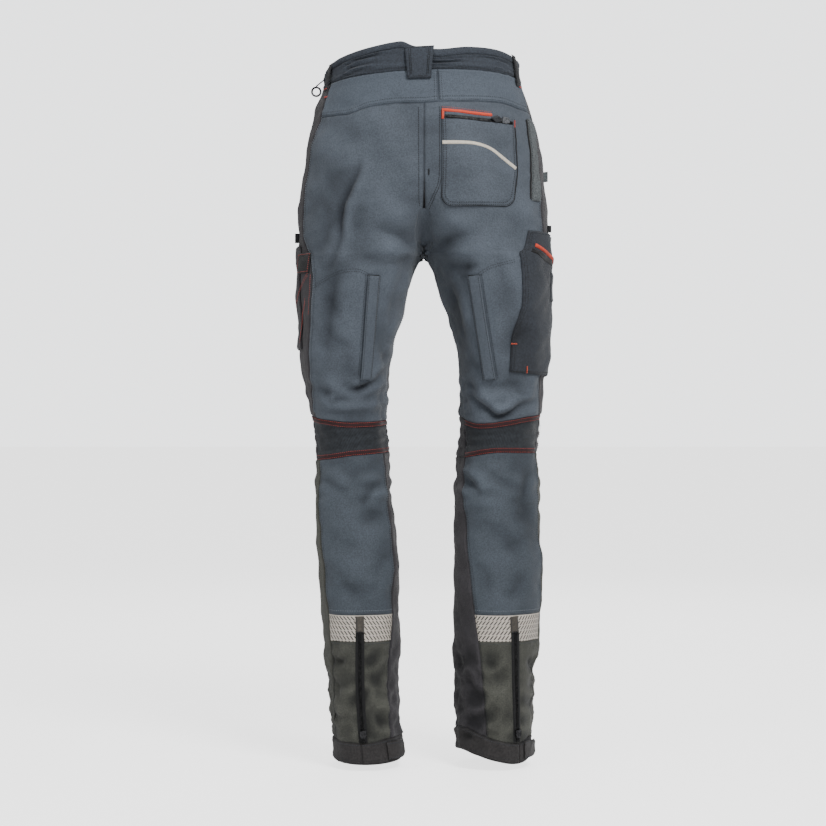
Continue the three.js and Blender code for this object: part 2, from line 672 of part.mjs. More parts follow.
function backPocket() {
  const half = pocketWidth / 2;
  const cornerPull = (z) => {
    const up = Math.max(z - (pocketTop - pocketHeight), 0);
    return up >= pocketCorner ? 0 : pocketCorner - Math.sqrt(pocketCorner ** 2 - (pocketCorner - up) ** 2);
  };
  const at = (u, z) => {
    const x = pocketInset + half + u * (half - cornerPull(z));
    const low = z - 0.08 * (x - pocketInset) * smooth((z - pocketTop + pocketHeight) / pocketHeight);
    return shell(right, low, turnAt(right, low, x));
  };
  const bottom = pocketTop - pocketHeight;
  const vs = [...steps(pocketTop - 5, bottom + pocketCorner, 5), bottom + 7, bottom + 2, bottom];
  add('back_pocket', sheet(at, steps(-1, 1, 8), vs, lap, lap + patchCloth, fromMiddle), slate);

  const { points, centre, axis } = pocketZipArc();
  const turned = (angle, rise2, out) => {
    const spoke = points[0].clone().sub(centre);
    const reach = spoke.length();
    return spoke
      .applyAxisAngle(axis, angle)
      .multiplyScalar((reach + out) / reach)
      .add(centre)
      .addScaledVector(axis, rise2);
  };
  const spokeAngle = (p) => points[0].clone().sub(centre).angleTo(p.clone().sub(centre));
  const end = spokeAngle(points[2]);
  const outward = (p) => p.clone().sub(centre);
  const chain = (a, h) => turned(a, h, 0);
  const zs = [-zipWidth / 2, zipWidth / 2];
  add('back_pocket_zip', sheet(chain, steps(0, end, 8), zs, lap + 0.3, lap + 0.3 + chainHeight, outward), zipBlack);
  const sliderAngle = end - 14 / points[0].distanceTo(centre);
  const place = turned(sliderAngle, 0, 0);
  const along = turned(sliderAngle + 0.01, 0, 0).sub(turned(sliderAngle - 0.01, 0, 0)).normalize();
  const normal = outward(place).normalize();
  const low = lap + 0.3 + chainHeight + fit;
  const sliderShape = raised(sliderOutline, place, along, normal, low + 0.4, low + 0.4 + sliderHeight);
  add('back_pocket_slider', sliderShape, metal);
  const pull = [[-2, 0], [2, 0], [5, 9], [0, 19], [-5, 9]];
  const start = place.clone().addScaledVector(along, -sliderLength / 2 - pullerGap);
  const back = along.clone().negate();
  add('back_pocket_puller', raised(pull, start, back, normal, low + 1.6, low + 3.2), metal);
}

// Pockets on the outer sides of the thighs
function sidePockets() {
  const cargoEdge = (z) => 0.652 + 0.03 * smooth((-cargoTop - z) / cargoHeight);
  const outward = (leg) => (p, u, z) => p.clone().sub(core(leg, z));
  const between = (leg, from, to) => (u, z) => shell(leg, z, mix(from(z), to(z), u));
  const cargo = between(right, () => 0.43, cargoEdge);
  const cargoRows = steps(-cargoTop, -cargoTop - cargoHeight, 6);
  add('cargo_pocket_right', sheet(cargo, steps(0, 1, 7), cargoRows, lap, lap + 3, outward(right)), charcoal);
  const strip = between(left, () => 0.43, () => 0.58);
  const stripRows = steps(-sidePocketTop, -sidePocketTop - sidePocketHeight, 5);
  add('thigh_pocket_left', sheet(strip, steps(0, 1, 5), stripRows, lap, lap + patchCloth, outward(left)), charcoal);
}

// Ring for keys under the waistband on the wearer's left side
function keyRing() {
  const turn = 0.53;
  const height = bandBottom - 2;
  const spot = shell(left, height, turn);
  const geometry = new THREE.TorusGeometry(ringRadius, ringWire, 8, 24);
  geometry.rotateX(Math.PI / 2);
  const out = ringRadius + ringWire + 2;
  const ringTop = spot.z + 8;
  geometry.translate(spot.x - out, spot.y, ringTop - ringRadius);
  add('key_ring_left', geometry, metal);
  const foot = new THREE.Vector3(spot.x - out, spot.y, ringTop + ringWire + fit + 0.4);
  const top = shell(left, foot.z + 16, turn).setY(spot.y);
  top.x -= tapeStandOff;
  const run = top.clone().sub(foot);
  const normal = new THREE.Vector3(-run.z, 0, run.x).normalize();
  add('key_ring_tape', bar(top, foot, normal, 8, -0.6, 0.6), charcoal);
}

waistband();
beltLoop('belt_loop_centre_back', right, 1.005, centreLoopWidth);
for (const leg of sides) {
  beltLoop(`belt_loop_back_${leg.name}`, leg, 0.645, loopWidth);
  beltLoop(`belt_loop_front_${leg.name}`, leg, 0.2, loopWidth);
}
waistTab();
fly();
yokes();
gusset();
for (const leg of sides) {
  seat(leg);
  front(leg);
  pad(leg);
  kneePieces(leg);
  lowerLeg(leg);
  ankleZip(leg);
  hemCuff(leg);
  hemTab(leg);
}
backPocket();
sidePockets();
keyRing();

export default group;
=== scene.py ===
import bpy
import numpy as np
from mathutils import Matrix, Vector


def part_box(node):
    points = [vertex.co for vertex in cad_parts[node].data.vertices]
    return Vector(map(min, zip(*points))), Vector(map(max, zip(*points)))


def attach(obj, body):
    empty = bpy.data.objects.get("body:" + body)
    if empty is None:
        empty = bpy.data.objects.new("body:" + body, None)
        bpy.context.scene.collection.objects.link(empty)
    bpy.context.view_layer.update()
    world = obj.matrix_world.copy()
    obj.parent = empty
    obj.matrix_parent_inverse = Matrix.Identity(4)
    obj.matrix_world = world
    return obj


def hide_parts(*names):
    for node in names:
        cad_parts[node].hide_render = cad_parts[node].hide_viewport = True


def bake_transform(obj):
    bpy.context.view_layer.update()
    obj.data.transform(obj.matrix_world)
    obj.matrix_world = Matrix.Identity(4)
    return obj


# Forestry trousers with cut protection, hanging as worn. Lengths are millimetres until a mesh is made.
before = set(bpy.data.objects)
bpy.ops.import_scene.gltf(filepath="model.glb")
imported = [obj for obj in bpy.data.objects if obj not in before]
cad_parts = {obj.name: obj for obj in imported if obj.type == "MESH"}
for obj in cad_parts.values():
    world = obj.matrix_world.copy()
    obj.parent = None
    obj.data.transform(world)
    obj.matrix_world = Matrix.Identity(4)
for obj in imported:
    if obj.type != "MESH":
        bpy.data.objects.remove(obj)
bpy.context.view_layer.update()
pi = np.pi

rightLeg, leftLeg = 1.0, -1.0

# the body surface that every piece is cut on
trousers = {
    "halfWidth": 185, "halfDepth": 130, "rise": 296, "legLength": 744,
    "backRise": 19, "waistTilt": 8, "archRadius": 4.7, "archSpread": 0.24, "blendHeight": 170,
    "yokeBottom": -83, "kneeTop": -537, "calfBottom": -821, "hem": -1040, "frontSeam": 0.4,
    "roundness": 2.3, "twist": {rightLeg: -.1, leftLeg: -.015},
}
crotch = -trousers["rise"]
hem = trousers["hem"]
sideName = {1.0: "right", -1.0: "left"}


def smooth(t):
    # cubic ease from 0 to 1
    t = np.clip(t, 0, 1)
    return t * t * (3 - 2 * t)


def profile(points):
    # monotone cubic through the points: the slope at a point is the harmonic mean of its neighbours' slopes
    table = np.array(sorted(points), float)
    x, y = table[:, 0], table[:, 1]
    step = np.diff(y) / np.diff(x)
    before, after = np.concatenate([step[:1], step]), np.concatenate([step, step[-1:]])
    total = before + after
    slope = np.where(before * after <= 0, 0, 2 * before * after / np.where(total == 0, 1, total))

    def value(q):
        q = np.clip(q, x[0], x[-1])
        i = np.clip(np.searchsorted(x, q) - 1, 0, len(x) - 2)
        h = x[i + 1] - x[i]
        t = (q - x[i]) / h
        rising = y[i] * (1 + 2 * t) * (1 - t) ** 2 + y[i + 1] * t * t * (3 - 2 * t)
        return rising + h * t * (1 - t) * (slope[i] * (1 - t) - slope[i + 1] * t)
    return value


def outline(trunk, leg, size):
    # widths as shares of a half size, trunk rows by the rise and leg rows by the leg's length
    rows = [(crotch * f, s * size) for f, s in trunk]
    rows += [(crotch - trousers["legLength"] * f, s * size) for f, s in leg]
    return profile(rows)


wide, deep = trousers["halfWidth"], trousers["halfDepth"]
trunkDepth = outline([(-.04, .83), (.27, .905), (.54, .975), (.85, 1), (1, 1)], [], deep)
trunkCentre = outline([(-.04, 0), (.27, -.03), (.54, -.075), (.85, -.105)], [], deep)
legDepth = outline([(.5, .83)], [(0, .83), (.167, .75), (.315, .645), (.368, .615), (.61, .615), (.81, .57),
                                 (1, .55)], deep)
legCentre = outline([(.5, -.09)], [(0, -.09), (.167, -.06), (.315, 0), (.368, .015), (.489, -.06), (.61, -.09),
                                   (1, -.06)], deep)
outerEdge = {
    leftLeg: outline([(-.04, .765), (.135, .8), (.27, .885), (.54, .955), (.845, 1)],
                     [(.167, 1), (.274, .946), (.368, .87), (.489, .865), (.61, .838), (.731, .805), (.852, .768),
                      (1, .724)], wide),
    rightLeg: outline([(-.04, .735), (.135, .77), (.27, .855), (.54, .945), (.845, .995)],
                      [(.167, .975), (.274, .94), (.368, .92), (.489, .925), (.61, .94), (.731, .92), (.852, .87),
                       (1, .855)], wide),
}
innerEdge = {
    leftLeg: outline([], [(.19, .34), (.3, .318), (.368, .292), (.489, .243), (.61, .184), (.731, .184),
                          (.852, .205), (1, .168)], wide),
    rightLeg: outline([], [(.19, .335), (.3, .3), (.368, .285), (.489, .265), (.61, .26), (.731, .25),
                           (1, .258)], wide),
}


def bySide(table, side, z):
    # each point read from its own leg's profile
    return np.where(side > 0, table[rightLeg](z), table[leftLeg](z))


def ring(angle, across, depth):
    # superellipse: the roundness power of both shares adds up to 1
    c, s = np.cos(angle), np.sin(angle)
    power = trousers["roundness"]
    r = (abs(c) ** power + abs(s) ** power) ** (-1 / power)
    return across * r * c, depth * r * s


def shell(side, z, turn):
    # leg ring and trunk ring mixed above the crotch
    # turn runs 0 inseam, .25 front, .5 outer side, .75 back, 1 inseam
    side, z, turn = np.broadcast_arrays(np.asarray(side, float), np.asarray(z, float), np.asarray(turn, float))
    outer = bySide(outerEdge, side, z)
    drop = np.maximum(crotch - z, 1e-9)
    arch = np.sqrt((trousers["archSpread"] * drop) ** 2 + 2 * trousers["archRadius"] * drop)
    inner = np.where(z >= crotch, 0, (arch ** -6 + bySide(innerEdge, side, z) ** -6) ** (-1 / 6))
    twist = np.where(side > 0, trousers["twist"][rightLeg], trousers["twist"][leftLeg])
    twist = twist * smooth((trousers["kneeTop"] - z) / (trousers["kneeTop"] - hem))
    legX, legY = ring(pi * (1 - 2 * (turn + twist)), (outer - inner) / 2, legDepth(z))
    trunkX, trunkY = ring(pi * (.5 - turn), outer, trunkDepth(z))
    share = np.sin(pi / 2 * np.sqrt(np.clip((z - crotch) / trousers["blendHeight"], 0, 1)))
    x = (1 - share) * ((outer + inner) / 2 + legX) + share * trunkX
    y = (1 - share) * (legCentre(z) + legY) + share * (trunkCentre(z) + trunkY)
    rise = smooth((z - trousers["yokeBottom"] + 12) / (-trousers["yokeBottom"] - 6))
    rise = rise * (trousers["waistTilt"] * side * np.sin(pi * turn) - trousers["backRise"] * np.cos(pi * turn))
    return np.stack([side * x, y, z + rise], -1)


def slopes(side, z, turn):
    # tangents down the height and round the turn, and the outward normal from their cross product
    dz = (shell(side, z + 2, turn) - shell(side, z - 2, turn)) / 4
    dt = (shell(side, z, turn + .004) - shell(side, z, turn - .004)) / .008
    n = np.cross(dz, dt) * np.broadcast_to(side, np.shape(z))[..., None]
    return dz, dt, n / np.linalg.norm(n, axis=-1, keepdims=True)


def turnAt(side, z, x, back=True):
    # halving search for the turn whose point has this distance from the middle plane
    z, x = np.broadcast_arrays(np.asarray(z, float), np.asarray(x, float))
    near = np.full(z.shape, .5)
    far = np.full(z.shape, 1.0 if back else 0.0)
    for _ in range(26):
        middle = (near + far) / 2
        wider = abs(shell(side, z, middle)[..., 0]) > x
        near = np.where(wider, middle, near)
        far = np.where(wider, far, middle)
    return (near + far) / 2


# folds: how the cloth stands off that surface
def ripple(p, wave, seed, count=10, stretch=(1, 1, 1)):
    # mean of sine waves in seeded directions, about -1 to 1
    rng = np.random.default_rng(seed)
    way = rng.normal(size=(count, 3)) * stretch
    way /= np.linalg.norm(way, axis=1, keepdims=True)
    pace = 2 * pi / wave * rng.uniform(.65, 1.45, (count, 1))
    return np.sin(p @ (way * pace).T + rng.uniform(0, 2 * pi, count)).sum(-1) / np.sqrt(count * .8)


def curveThrough(points, count=18):
    # Catmull-Rom curve through the points
    k = np.array(points, float)
    k = np.concatenate([[2 * k[0] - k[1]], k, [2 * k[-1] - k[-2]]])
    t = np.linspace(0, len(k) - 3 - 1e-6, count)
    i = t.astype(int)
    f = (t - i)[:, None]
    a, b, c, d = k[i], k[i + 1], k[i + 2], k[i + 3]
    return .5 * (2 * b + (c - a) * f + (2 * a - 5 * b + 4 * c - d) * f ** 2 + (3 * b - a - 3 * c + d) * f ** 3)


def crease(u, v, points, width, depth, lean=.75):
    # a valley along the curve, steep under the ridge on its left and easy on its right, fading to both ends
    total = np.zeros(u.shape)
    path = curveThrough(points)
    reach = 7 * width
    near = ((u > path[:, 0].min() - reach) & (u < path[:, 0].max() + reach)
            & (v > path[:, 1].min() - reach) & (v < path[:, 1].max() + reach))
    if not near.any():
        return total
    q = np.stack([u[near], v[near]], -1)[:, None, :]
    start, step = path[None, :-1], np.diff(path, axis=0)[None]
    t = np.clip(((q - start) * step).sum(-1) / (step ** 2).sum(-1), 0, 1)
    gap = q - start - t[..., None] * step
    far = np.linalg.norm(gap, axis=-1)
    best = far.argmin(1)
    pick = np.arange(len(best))
    s = far[pick, best]
    turnSign = np.sign(step[0, best, 0] * gap[pick, best, 1] - step[0, best, 1] * gap[pick, best, 0])
    place = (best + t[pick, best]) / (len(path) - 1)
    s = s * np.where(turnSign == 0, 1, turnSign)
    shape = -np.exp(-(abs(s) / np.where(s > 0, .9 * width, 1.7 * width)) ** 1.4)
    shape += lean * np.exp(-((s - 2.5 * width) / (1.9 * width)) ** 2)
    shape += .3 * lean * np.exp(-((s + 3 * width) / (2 * width)) ** 2)
    total[near] = depth * shape * np.sin(pi * np.clip(place, 0, 1)) ** .8
    return total


# depth and wavelength of each kind of wave in the cloth, in mm
drape = {
    "broad": (2.2, 150), "middle": (1.2, 62), "small": (.34, 24), "knee": (1.1, 30),
    "crumple": (2.1, 56), "fine": (.9, 25), "ankleSettle": 1.4, "foldDepth": 1.5,
    "cleft": 5.5, "cleftWidth": 15, "kneeWaves": ((-505, 34), (-628, 36)),
}
# each fold: points (across, height), width, depth
backFolds = [
    ([(-90, -158), (-97, -184), (-117, -224), (-122, -247), (-123, -282), (-142, -326)], 4.2, 3.4),
    ([(-128, -236), (-140, -262), (-152, -300)], 7, 1.6),
    ([(-100, -73), (-80, -62), (-57, -52)], 5, 1.6),
    ([(-62, -80), (-48, -72), (-38, -58)], 4, 1.2),
    ([(-14, -288), (-40, -272), (-78, -262)], 8, 3.2),
    ([(14, -288), (44, -274), (84, -268)], 8, 3.0),
    ([(-20, -302), (-52, -312), (-96, -300)], 9, 2.4),
    ([(20, -302), (50, -318), (98, -312)], 9, 2.4),
    ([(-150, -196), (-112, -184), (-60, -176)], 16, 1.4),
    ([(-60, -128), (-88, -124), (-124, -130)], 10, 1.0),
    ([(-114, -494), (-96, -493), (-78, -483), (-66, -472), (-52, -455)], 3.6, 4.4),
    ([(-66, -430), (-60, -446), (-58, -462)], 6, 2.2),
    ([(-146, -508), (-134, -512), (-124, -508), (-96, -508)], 5, 2.6),
    ([(-156, -488), (-140, -496), (-118, -498)], 6, 2.0),
    ([(-150, -524), (-118, -528), (-76, -524)], 6, 1.8),
    ([(-60, -440), (-74, -418), (-80, -392)], 8, 1.5),
    ([(-152, -400), (-130, -420), (-104, -436)], 10, 1.6),
    ([(-150, -352), (-128, -380), (-112, -410)], 11, 1.8),
    ([(-60, -372), (-66, -400), (-62, -430)], 7, 1.3),
    ([(62, -500), (76, -510), (90, -520), (106, -531), (124, -527), (142, -516), (164, -510)], 4.2, 5.2),
    ([(56, -478), (72, -490), (84, -504)], 5, 2.4),
    ([(132, -496), (146, -500), (166, -496)], 6, 2.2),
    ([(112, -478), (130, -486), (158, -482)], 9, 1.6),
    ([(60, -440), (74, -456), (98, -468)], 8, 1.6),
    ([(152, -404), (128, -424), (112, -446)], 10, 1.6),
    ([(40, -335), (46, -368), (58, -404)], 9, 1.6),
    ([(116, -330), (128, -352), (132, -384)], 10, 1.5),
    ([(-60, -628), (-76, -640), (-90, -662)], 5, 3.0),
    ([(-148, -622), (-128, -636), (-108, -640)], 6, 2.0),
    ([(-62, -668), (-80, -684), (-112, -690)], 8, 1.7),
    ([(-140, -700), (-116, -716), (-88, -722)], 10, 1.3),
    ([(-52, -730), (-66, -752), (-72, -786)], 9, 1.4),
    ([(-128, -760), (-110, -780), (-84, -796)], 8, 1.4),
    ([(56, -612), (70, -628), (84, -650)], 5, 3.0),
    ([(160, -612), (152, -630), (147, -656)], 5, 2.4),
    ([(92, -612), (112, -624), (138, -622)], 6, 1.8),
    ([(72, -672), (96, -690), (128, -694)], 9, 1.5),
    ([(156, -700), (136, -716), (110, -724)], 9, 1.4),
    ([(84, -744), (92, -772), (90, -806)], 9, 1.4),
    ([(150, -764), (132, -784), (112, -800)], 8, 1.4),
    ([(-34, -322), (-46, -360), (-54, -404), (-66, -440)], 6, 2.2),
    ([(-142, -64), (-112, -76), (-82, -84)], 5, 1.6),
    ([(-130, -54), (-98, -64), (-62, -60)], 5, 1.4),
    ([(-62, -50), (-42, -68), (-26, -84)], 4, 1.1),
    ([(-120, -300), (-132, -350), (-140, -410), (-144, -470)], 8, 1.8),
    ([(28, -318), (38, -352), (52, -400), (58, -446)], 6, 2.2),
    ([(66, -300), (60, -330), (62, -370)], 7, 1.8),
    ([(104, -290), (112, -330), (122, -372)], 8, 1.8),
    ([(-134, -880), (-120, -888), (-104, -872)], 6, 2.6),
    ([(-138, -905), (-128, -926), (-126, -950)], 6, 2.8),
    ([(-140, -964), (-120, -972), (-100, -962)], 7, 2.2),
    ([(-80, -900), (-70, -915), (-58, -920)], 7, 2.0),
    ([(-82, -950), (-70, -966), (-60, -990)], 7, 2.2),
    ([(146, -876), (156, -894), (160, -916)], 6, 2.6),
    ([(142, -936), (152, -950), (160, -960)], 6, 2.4),
    ([(126, -960), (112, -972), (96, -968)], 8, 1.8),
    ([(118, -900), (104, -906), (90, -900)], 8, 1.4),
]
frontFolds = [
    ([(-16, -250), (-50, -236), (-98, -232)], 9, 2.6),
    ([(16, -250), (52, -238), (100, -236)], 9, 2.6),
    ([(-18, -284), (-56, -282), (-108, -262)], 9, 2.8),
    ([(18, -284), (58, -284), (112, -266)], 9, 2.8),
    ([(-24, -330), (-60, -332), (-104, -316)], 10, 2.0),
    ([(24, -330), (62, -334), (108, -320)], 10, 2.0),
    ([(-150, -360), (-128, -400), (-118, -450)], 12, 1.8),
    ([(152, -360), (130, -404), (122, -456)], 12, 1.8),
    ([(-60, -470), (-92, -482), (-138, -476)], 8, 2.0),
    ([(62, -472), (96, -484), (150, -478)], 8, 2.0),
    ([(-58, -510), (-96, -518), (-148, -508)], 7, 2.2),
    ([(60, -510), (100, -520), (160, -510)], 7, 2.2),
    ([(-56, -622), (-88, -634), (-136, -626)], 7, 2.2),
    ([(62, -622), (98, -634), (158, -628)], 7, 2.2),
    ([(-52, -690), (-84, -706), (-128, -700)], 9, 1.8),
    ([(66, -694), (100, -708), (154, -700)], 9, 1.8),
    ([(-46, -800), (-60, -850), (-58, -910)], 10, 1.8),
    ([(150, -790), (140, -850), (144, -920)], 10, 1.8),
    ([(-120, -780), (-104, -830), (-106, -890)], 10, 1.6),
    ([(74, -770), (86, -830), (88, -900)], 10, 1.6),
]
zipLines = {}  # straightened lines, filled in below: name -> side, heights, offsets


def foldField(p, n, parted=False):
    # broad waves, ripples at the knees, crumples at the ankles and the folds above, in mm off the surface; parted, it
    # also gives painted shade in their valleys and painted highlight on their ridges
    def waves(kind, seed, stretch):
        depth, length = drape[kind]
        return depth * ripple(p, length, seed, stretch=stretch)

    def crest(kind, seed, stretch, sharp):
        return 1 - abs(ripple(p, drape[kind][1], seed, count=7, stretch=stretch)) * sharp

    x, y, z = p[..., 0], p[..., 1], p[..., 2]
    back = smooth((.35 - n[..., 1]) / .7)
    calm = smooth((-52 - z) / 50) * smooth((z - hem - 6) / 40)
    total = waves("broad", 11, (1, 1, .35)) + waves("middle", 12, (.6, .6, 1)) + waves("small", 13, (.5, .5, 1))
    knee = sum(np.exp(-((z - height) / width) ** 2) for height, width in drape["kneeWaves"])
    total += knee * waves("knee", 14, (.16, .16, 1))
    ankle = smooth((trousers["calfBottom"] - 18 - z) / 60)
    crumple, fine = crest("crumple", 15, (.75, .75, 1), 1.25), crest("fine", 16, (.8, .8, 1), 1.2)
    total += ankle * (drape["crumple"][0] * crumple + drape["fine"][0] * fine - drape["ankleSettle"])
    folds = np.zeros(z.shape)
    for share, table in ((back, backFolds), (1 - back, frontFolds)):
        for points, width, depth in table:
            folds += share * crease(x, z, points, width, depth * drape["foldDepth"])
    # painted shade and highlight: positive in the valleys of folds, waves and ankle crumples, negative on their ridges,
    # quiet near waist and hem
    paintedShadeAndHighlight = (-folds - .7 * total - 1.8 * ankle * (crumple - .5)) / 6 * calm
    total += folds
    cleft = drape["cleft"] * np.exp(-(x / drape["cleftWidth"]) ** 2)
    total -= back * cleft * smooth((-125 - z) / 80) * smooth((z + 310) / 30)
    total = total * calm
    for line in zipLines.values():
        off = abs(x - np.interp(-z, -line["z"], line["x"]))
        hold = smooth((30 - off) / 20)
        hold = hold * smooth((z - line["z"][-1] + 12) / 12) * smooth((line["z"][0] + 12 - z) / 12)
        hold = hold * (np.sign(x) == line["side"]) * back
        total = (1 - hold) * total + hold * np.interp(-z, -line["z"], line["off"])
    return (total, paintedShadeAndHighlight) if parted else total


def acrossMiddle(side, turn):
    # past the centre front or centre back the strip carries on over the other leg's half
    other = (turn > 1) | (turn < 0)
    folded = np.where(turn > 1, 2 - turn, np.where(turn < 0, -turn, turn))
    return np.where(other, -side, side), folded


def cloth(side, z, turn, off=0.0):
    # the surface moved out along its normal by its folds and by off
    p = shell(side, z, turn)
    n = slopes(side, z, turn)[2]
    return p + n * (foldField(p, n) + off)[..., None], n


def chordLine(side, zTop, zBottom, turnTop, turnBottom):
    # heights, places across and offsets that bring the surface onto the straight line between two points
    z = np.linspace(zTop, zBottom, 30)
    turn = np.linspace(turnTop, turnBottom, 30)
    p = shell(side, z, turn)
    n = slopes(side, z, turn)[2]
    straight = p[0] + (p[-1] - p[0]) * np.linspace(0, 1, 30)[:, None]
    return {"side": side, "z": z, "x": p[:, 0], "off": ((straight - p) * n).sum(-1)}


vent = {"top": -329, "bottom": -478, "lean": {leftLeg: (73, 86), rightLeg: (72, 96)}, "flap": 17}
ankle = {"turn": 0.755, "top": -845, "bottom": -1011}
for leg in (leftLeg, rightLeg):
    ends = [float(turnAt(leg, z, x)) for z, x in zip((vent["top"], vent["bottom"]), vent["lean"][leg])]
    zipLines["vent " + sideName[leg]] = chordLine(leg, vent["top"], vent["bottom"], *ends)
    zipLines["ankle " + sideName[leg]] = chordLine(leg, ankle["top"], ankle["bottom"], *[ankle["turn"]] * 2)


# meshes
def putMesh(name, points, faces, material, uv=None):
    # points in mm, faces as whole arrays of quads and triangles; a mesh that is inside out is turned
    points = np.asarray(points, float).reshape(-1, 3) / 1000
    faces = [np.asarray(f, np.int32) for f in faces if len(f)]
    volume = sum(np.einsum("ij,ij->i", points[f[:, 0]], np.cross(points[f[:, k]], points[f[:, k + 1]])).sum()
                 for f in faces for k in range(1, f.shape[1] - 1))
    if volume < 0:
        faces = [f[:, ::-1] for f in faces]
    mesh = bpy.data.meshes.new(name)
    mesh.vertices.add(len(points))
    mesh.vertices.foreach_set("co", points.ravel())
    corners = np.concatenate([f.ravel() for f in faces])
    sizes = np.concatenate([np.full(len(f), f.shape[1]) for f in faces])
    mesh.loops.add(len(corners))
    mesh.loops.foreach_set("vertex_index", corners)
    mesh.polygons.add(len(sizes))
    mesh.polygons.foreach_set("loop_start", np.concatenate([[0], np.cumsum(sizes)[:-1]]))
    mesh.polygons.foreach_set("loop_total", sizes)
    if uv is not None:
        layer = mesh.uv_layers.new(name="cut")
        layer.data.foreach_set("uv", (np.asarray(uv).reshape(-1, 2) / 1000)[corners].ravel())
    mesh.update(calc_edges=True)
    mesh.polygons.foreach_set("use_smooth", np.ones(len(sizes), bool))
    mesh.set_sharp_from_angle(angle=1.0)
    mesh.materials.append(material)
    obj = bpy.data.objects.new(name, mesh)
    bpy.context.scene.collection.objects.link(obj)
    return obj


def gridFaces(rows, columns, closed=False):
    # quads of a grid of points, the last column joined to the first when it is closed
    index = np.arange(rows * columns).reshape(rows, columns)
    if closed:
        index = np.concatenate([index, index[:, :1]], 1)
    return np.stack([index[:-1, :-1], index[:-1, 1:], index[1:, 1:], index[1:, :-1]], -1).reshape(-1, 4)


def closedSheet(name, outside, inside, material, closed=False, uv=None):
    # an outer and an inner grid joined round their rims
    rows, columns = outside.shape[:2]
    top = gridFaces(rows, columns, closed)
    count = rows * columns
    index = np.arange(count).reshape(rows, columns)
    rims = []
    first = np.concatenate([index, index[:, :1]], 1) if closed else index
    for line in (first[0], first[-1][::-1]):
        rims.append(np.stack([line[1:], line[:-1], line[:-1] + count, line[1:] + count], -1))
    if not closed:
        for line in (index[::-1, 0], index[:, -1]):
            rims.append(np.stack([line[1:], line[:-1], line[:-1] + count, line[1:] + count], -1))
    faces = [top, top[:, ::-1] + count] + rims
    points = np.concatenate([outside.reshape(-1, 3), inside.reshape(-1, 3)])
    both = None if uv is None else np.concatenate([uv.reshape(-1, 2)] * 2)
    return putMesh(name, points, [np.concatenate(faces)], material, both)


def spread(length, step):
    # places from 0 to 1, close together near both ends
    edge = np.array([0, .5, 1.1, 1.8, 2.7, 4, 5.6])
    if length < 16:
        return np.linspace(0, 1, max(7, int(length / .9) + 1))
    inner = np.linspace(7.6, length - 7.6, max(2, int((length - 15.2) / step) + 1))
    return np.concatenate([edge, inner, length - edge[::-1]]) / length


def runLengths(p, axis):
    # distance run along one axis of a grid of points
    step = np.linalg.norm(np.diff(p, axis=axis), axis=-1)
    zero = np.zeros_like(np.take(step, [0], axis))
    return np.concatenate([zero, np.cumsum(step, axis)], axis)


def seamLip(gap, dip, rise):
    # the edge rolls in to the seam and the allowance under it lifts a band beside it
    return -dip * np.exp(-(gap / 1.3) ** 2) + rise * (smooth((gap - .3) / 2.2) - smooth((gap - 6) / 3.5))


def asLine(value):
    # a seam line as a function, also made from one plain number
    return value if callable(value) else (lambda q: np.full(np.shape(q), float(value)))


def moved(line, by):
    # the same seam line shifted by a fixed amount
    return lambda q: line(q) + by


def panel(name, side, top, bottom, start, end, material, off=0.0, thick=1.7, step=2.6, edges=(1, 1, 1, 1),
          cross=False, dip=.95, rise=.45, pucker=.2, grid=None, tone=0.0):
    # a piece cut between two heights and two turns, with rolled seam edges and a little pucker along them; tone paints
    # shade into the low parts of its own offset
    top, bottom, start, end = asLine(top), asLine(bottom), asLine(start), asLine(end)
    if grid is None:
        middle = float(np.mean(top(np.linspace(.4, .9, 9)) + bottom(np.linspace(.4, .9, 9)))) / 2
        turns = np.linspace(float(start(middle)), float(end(middle)), 60)
        height = float(np.mean(top(turns) - bottom(turns)))
        waySide, wayTurn = acrossMiddle(side, turns) if cross else (side, turns)
        way = shell(waySide, middle, wayTurn)
        s, r = np.meshgrid(spread(np.linalg.norm(np.diff(way, axis=0), axis=-1).sum(), step), spread(height, step))
        turn = float(start(middle)) + float(end(middle) - start(middle)) * s
        for _ in range(5):
            z = top(turn) + (bottom(turn) - top(turn)) * r
            turn = start(z) + (end(z) - start(z)) * s
    else:
        s, r, z, turn = grid
    useSide, useTurn = acrossMiddle(side, turn) if cross else (np.full(z.shape, side), turn)
    p = shell(useSide, z, useTurn)
    n = slopes(useSide, z, useTurn)[2]
    across, down = runLengths(p, 1), runLengths(p, 0)
    gaps = [down, down[-1:] - down, across, across[:, -1:] - across]
    gap = np.full(z.shape, 99.0)
    for used, g in zip(edges, gaps):
        gap = np.minimum(gap, g) if used else gap
    total = off(s, r) if callable(off) else off
    lip = seamLip(gap, dip, rise) + pucker * np.exp(-gap / 7) * ripple(p, 9, 21 + len(name), stretch=(.7, .7, 1))
    fold, paintedShadeAndHighlight = foldField(p, n, True)
    # painted shade: tone darkens the piece where its offset sits below its mean, in the valleys of the gathers
    paintedShadeAndHighlight = paintedShadeAndHighlight + tone * (np.mean(total) - total)
    outside = p + n * (fold + total + lip)[..., None]
    inside = p + n * (fold + total - (thick(s, r) if callable(thick) else thick))[..., None]
    uv = np.stack([across - across[:, -1:] / 2, down], -1)
    obj = closedSheet(name, outside, inside, material, uv=uv)
    # the painted shade and highlight go to the cloth colour, with painted shade added along the seam edges
    shaded = obj.data.attributes.new("paintedShadeAndHighlight", "FLOAT", "POINT")
    shaded.data.foreach_set("value", np.concatenate([(paintedShadeAndHighlight + .5 * np.exp(-(gap / 1.6) ** 2)).ravel()] * 2))
    return obj


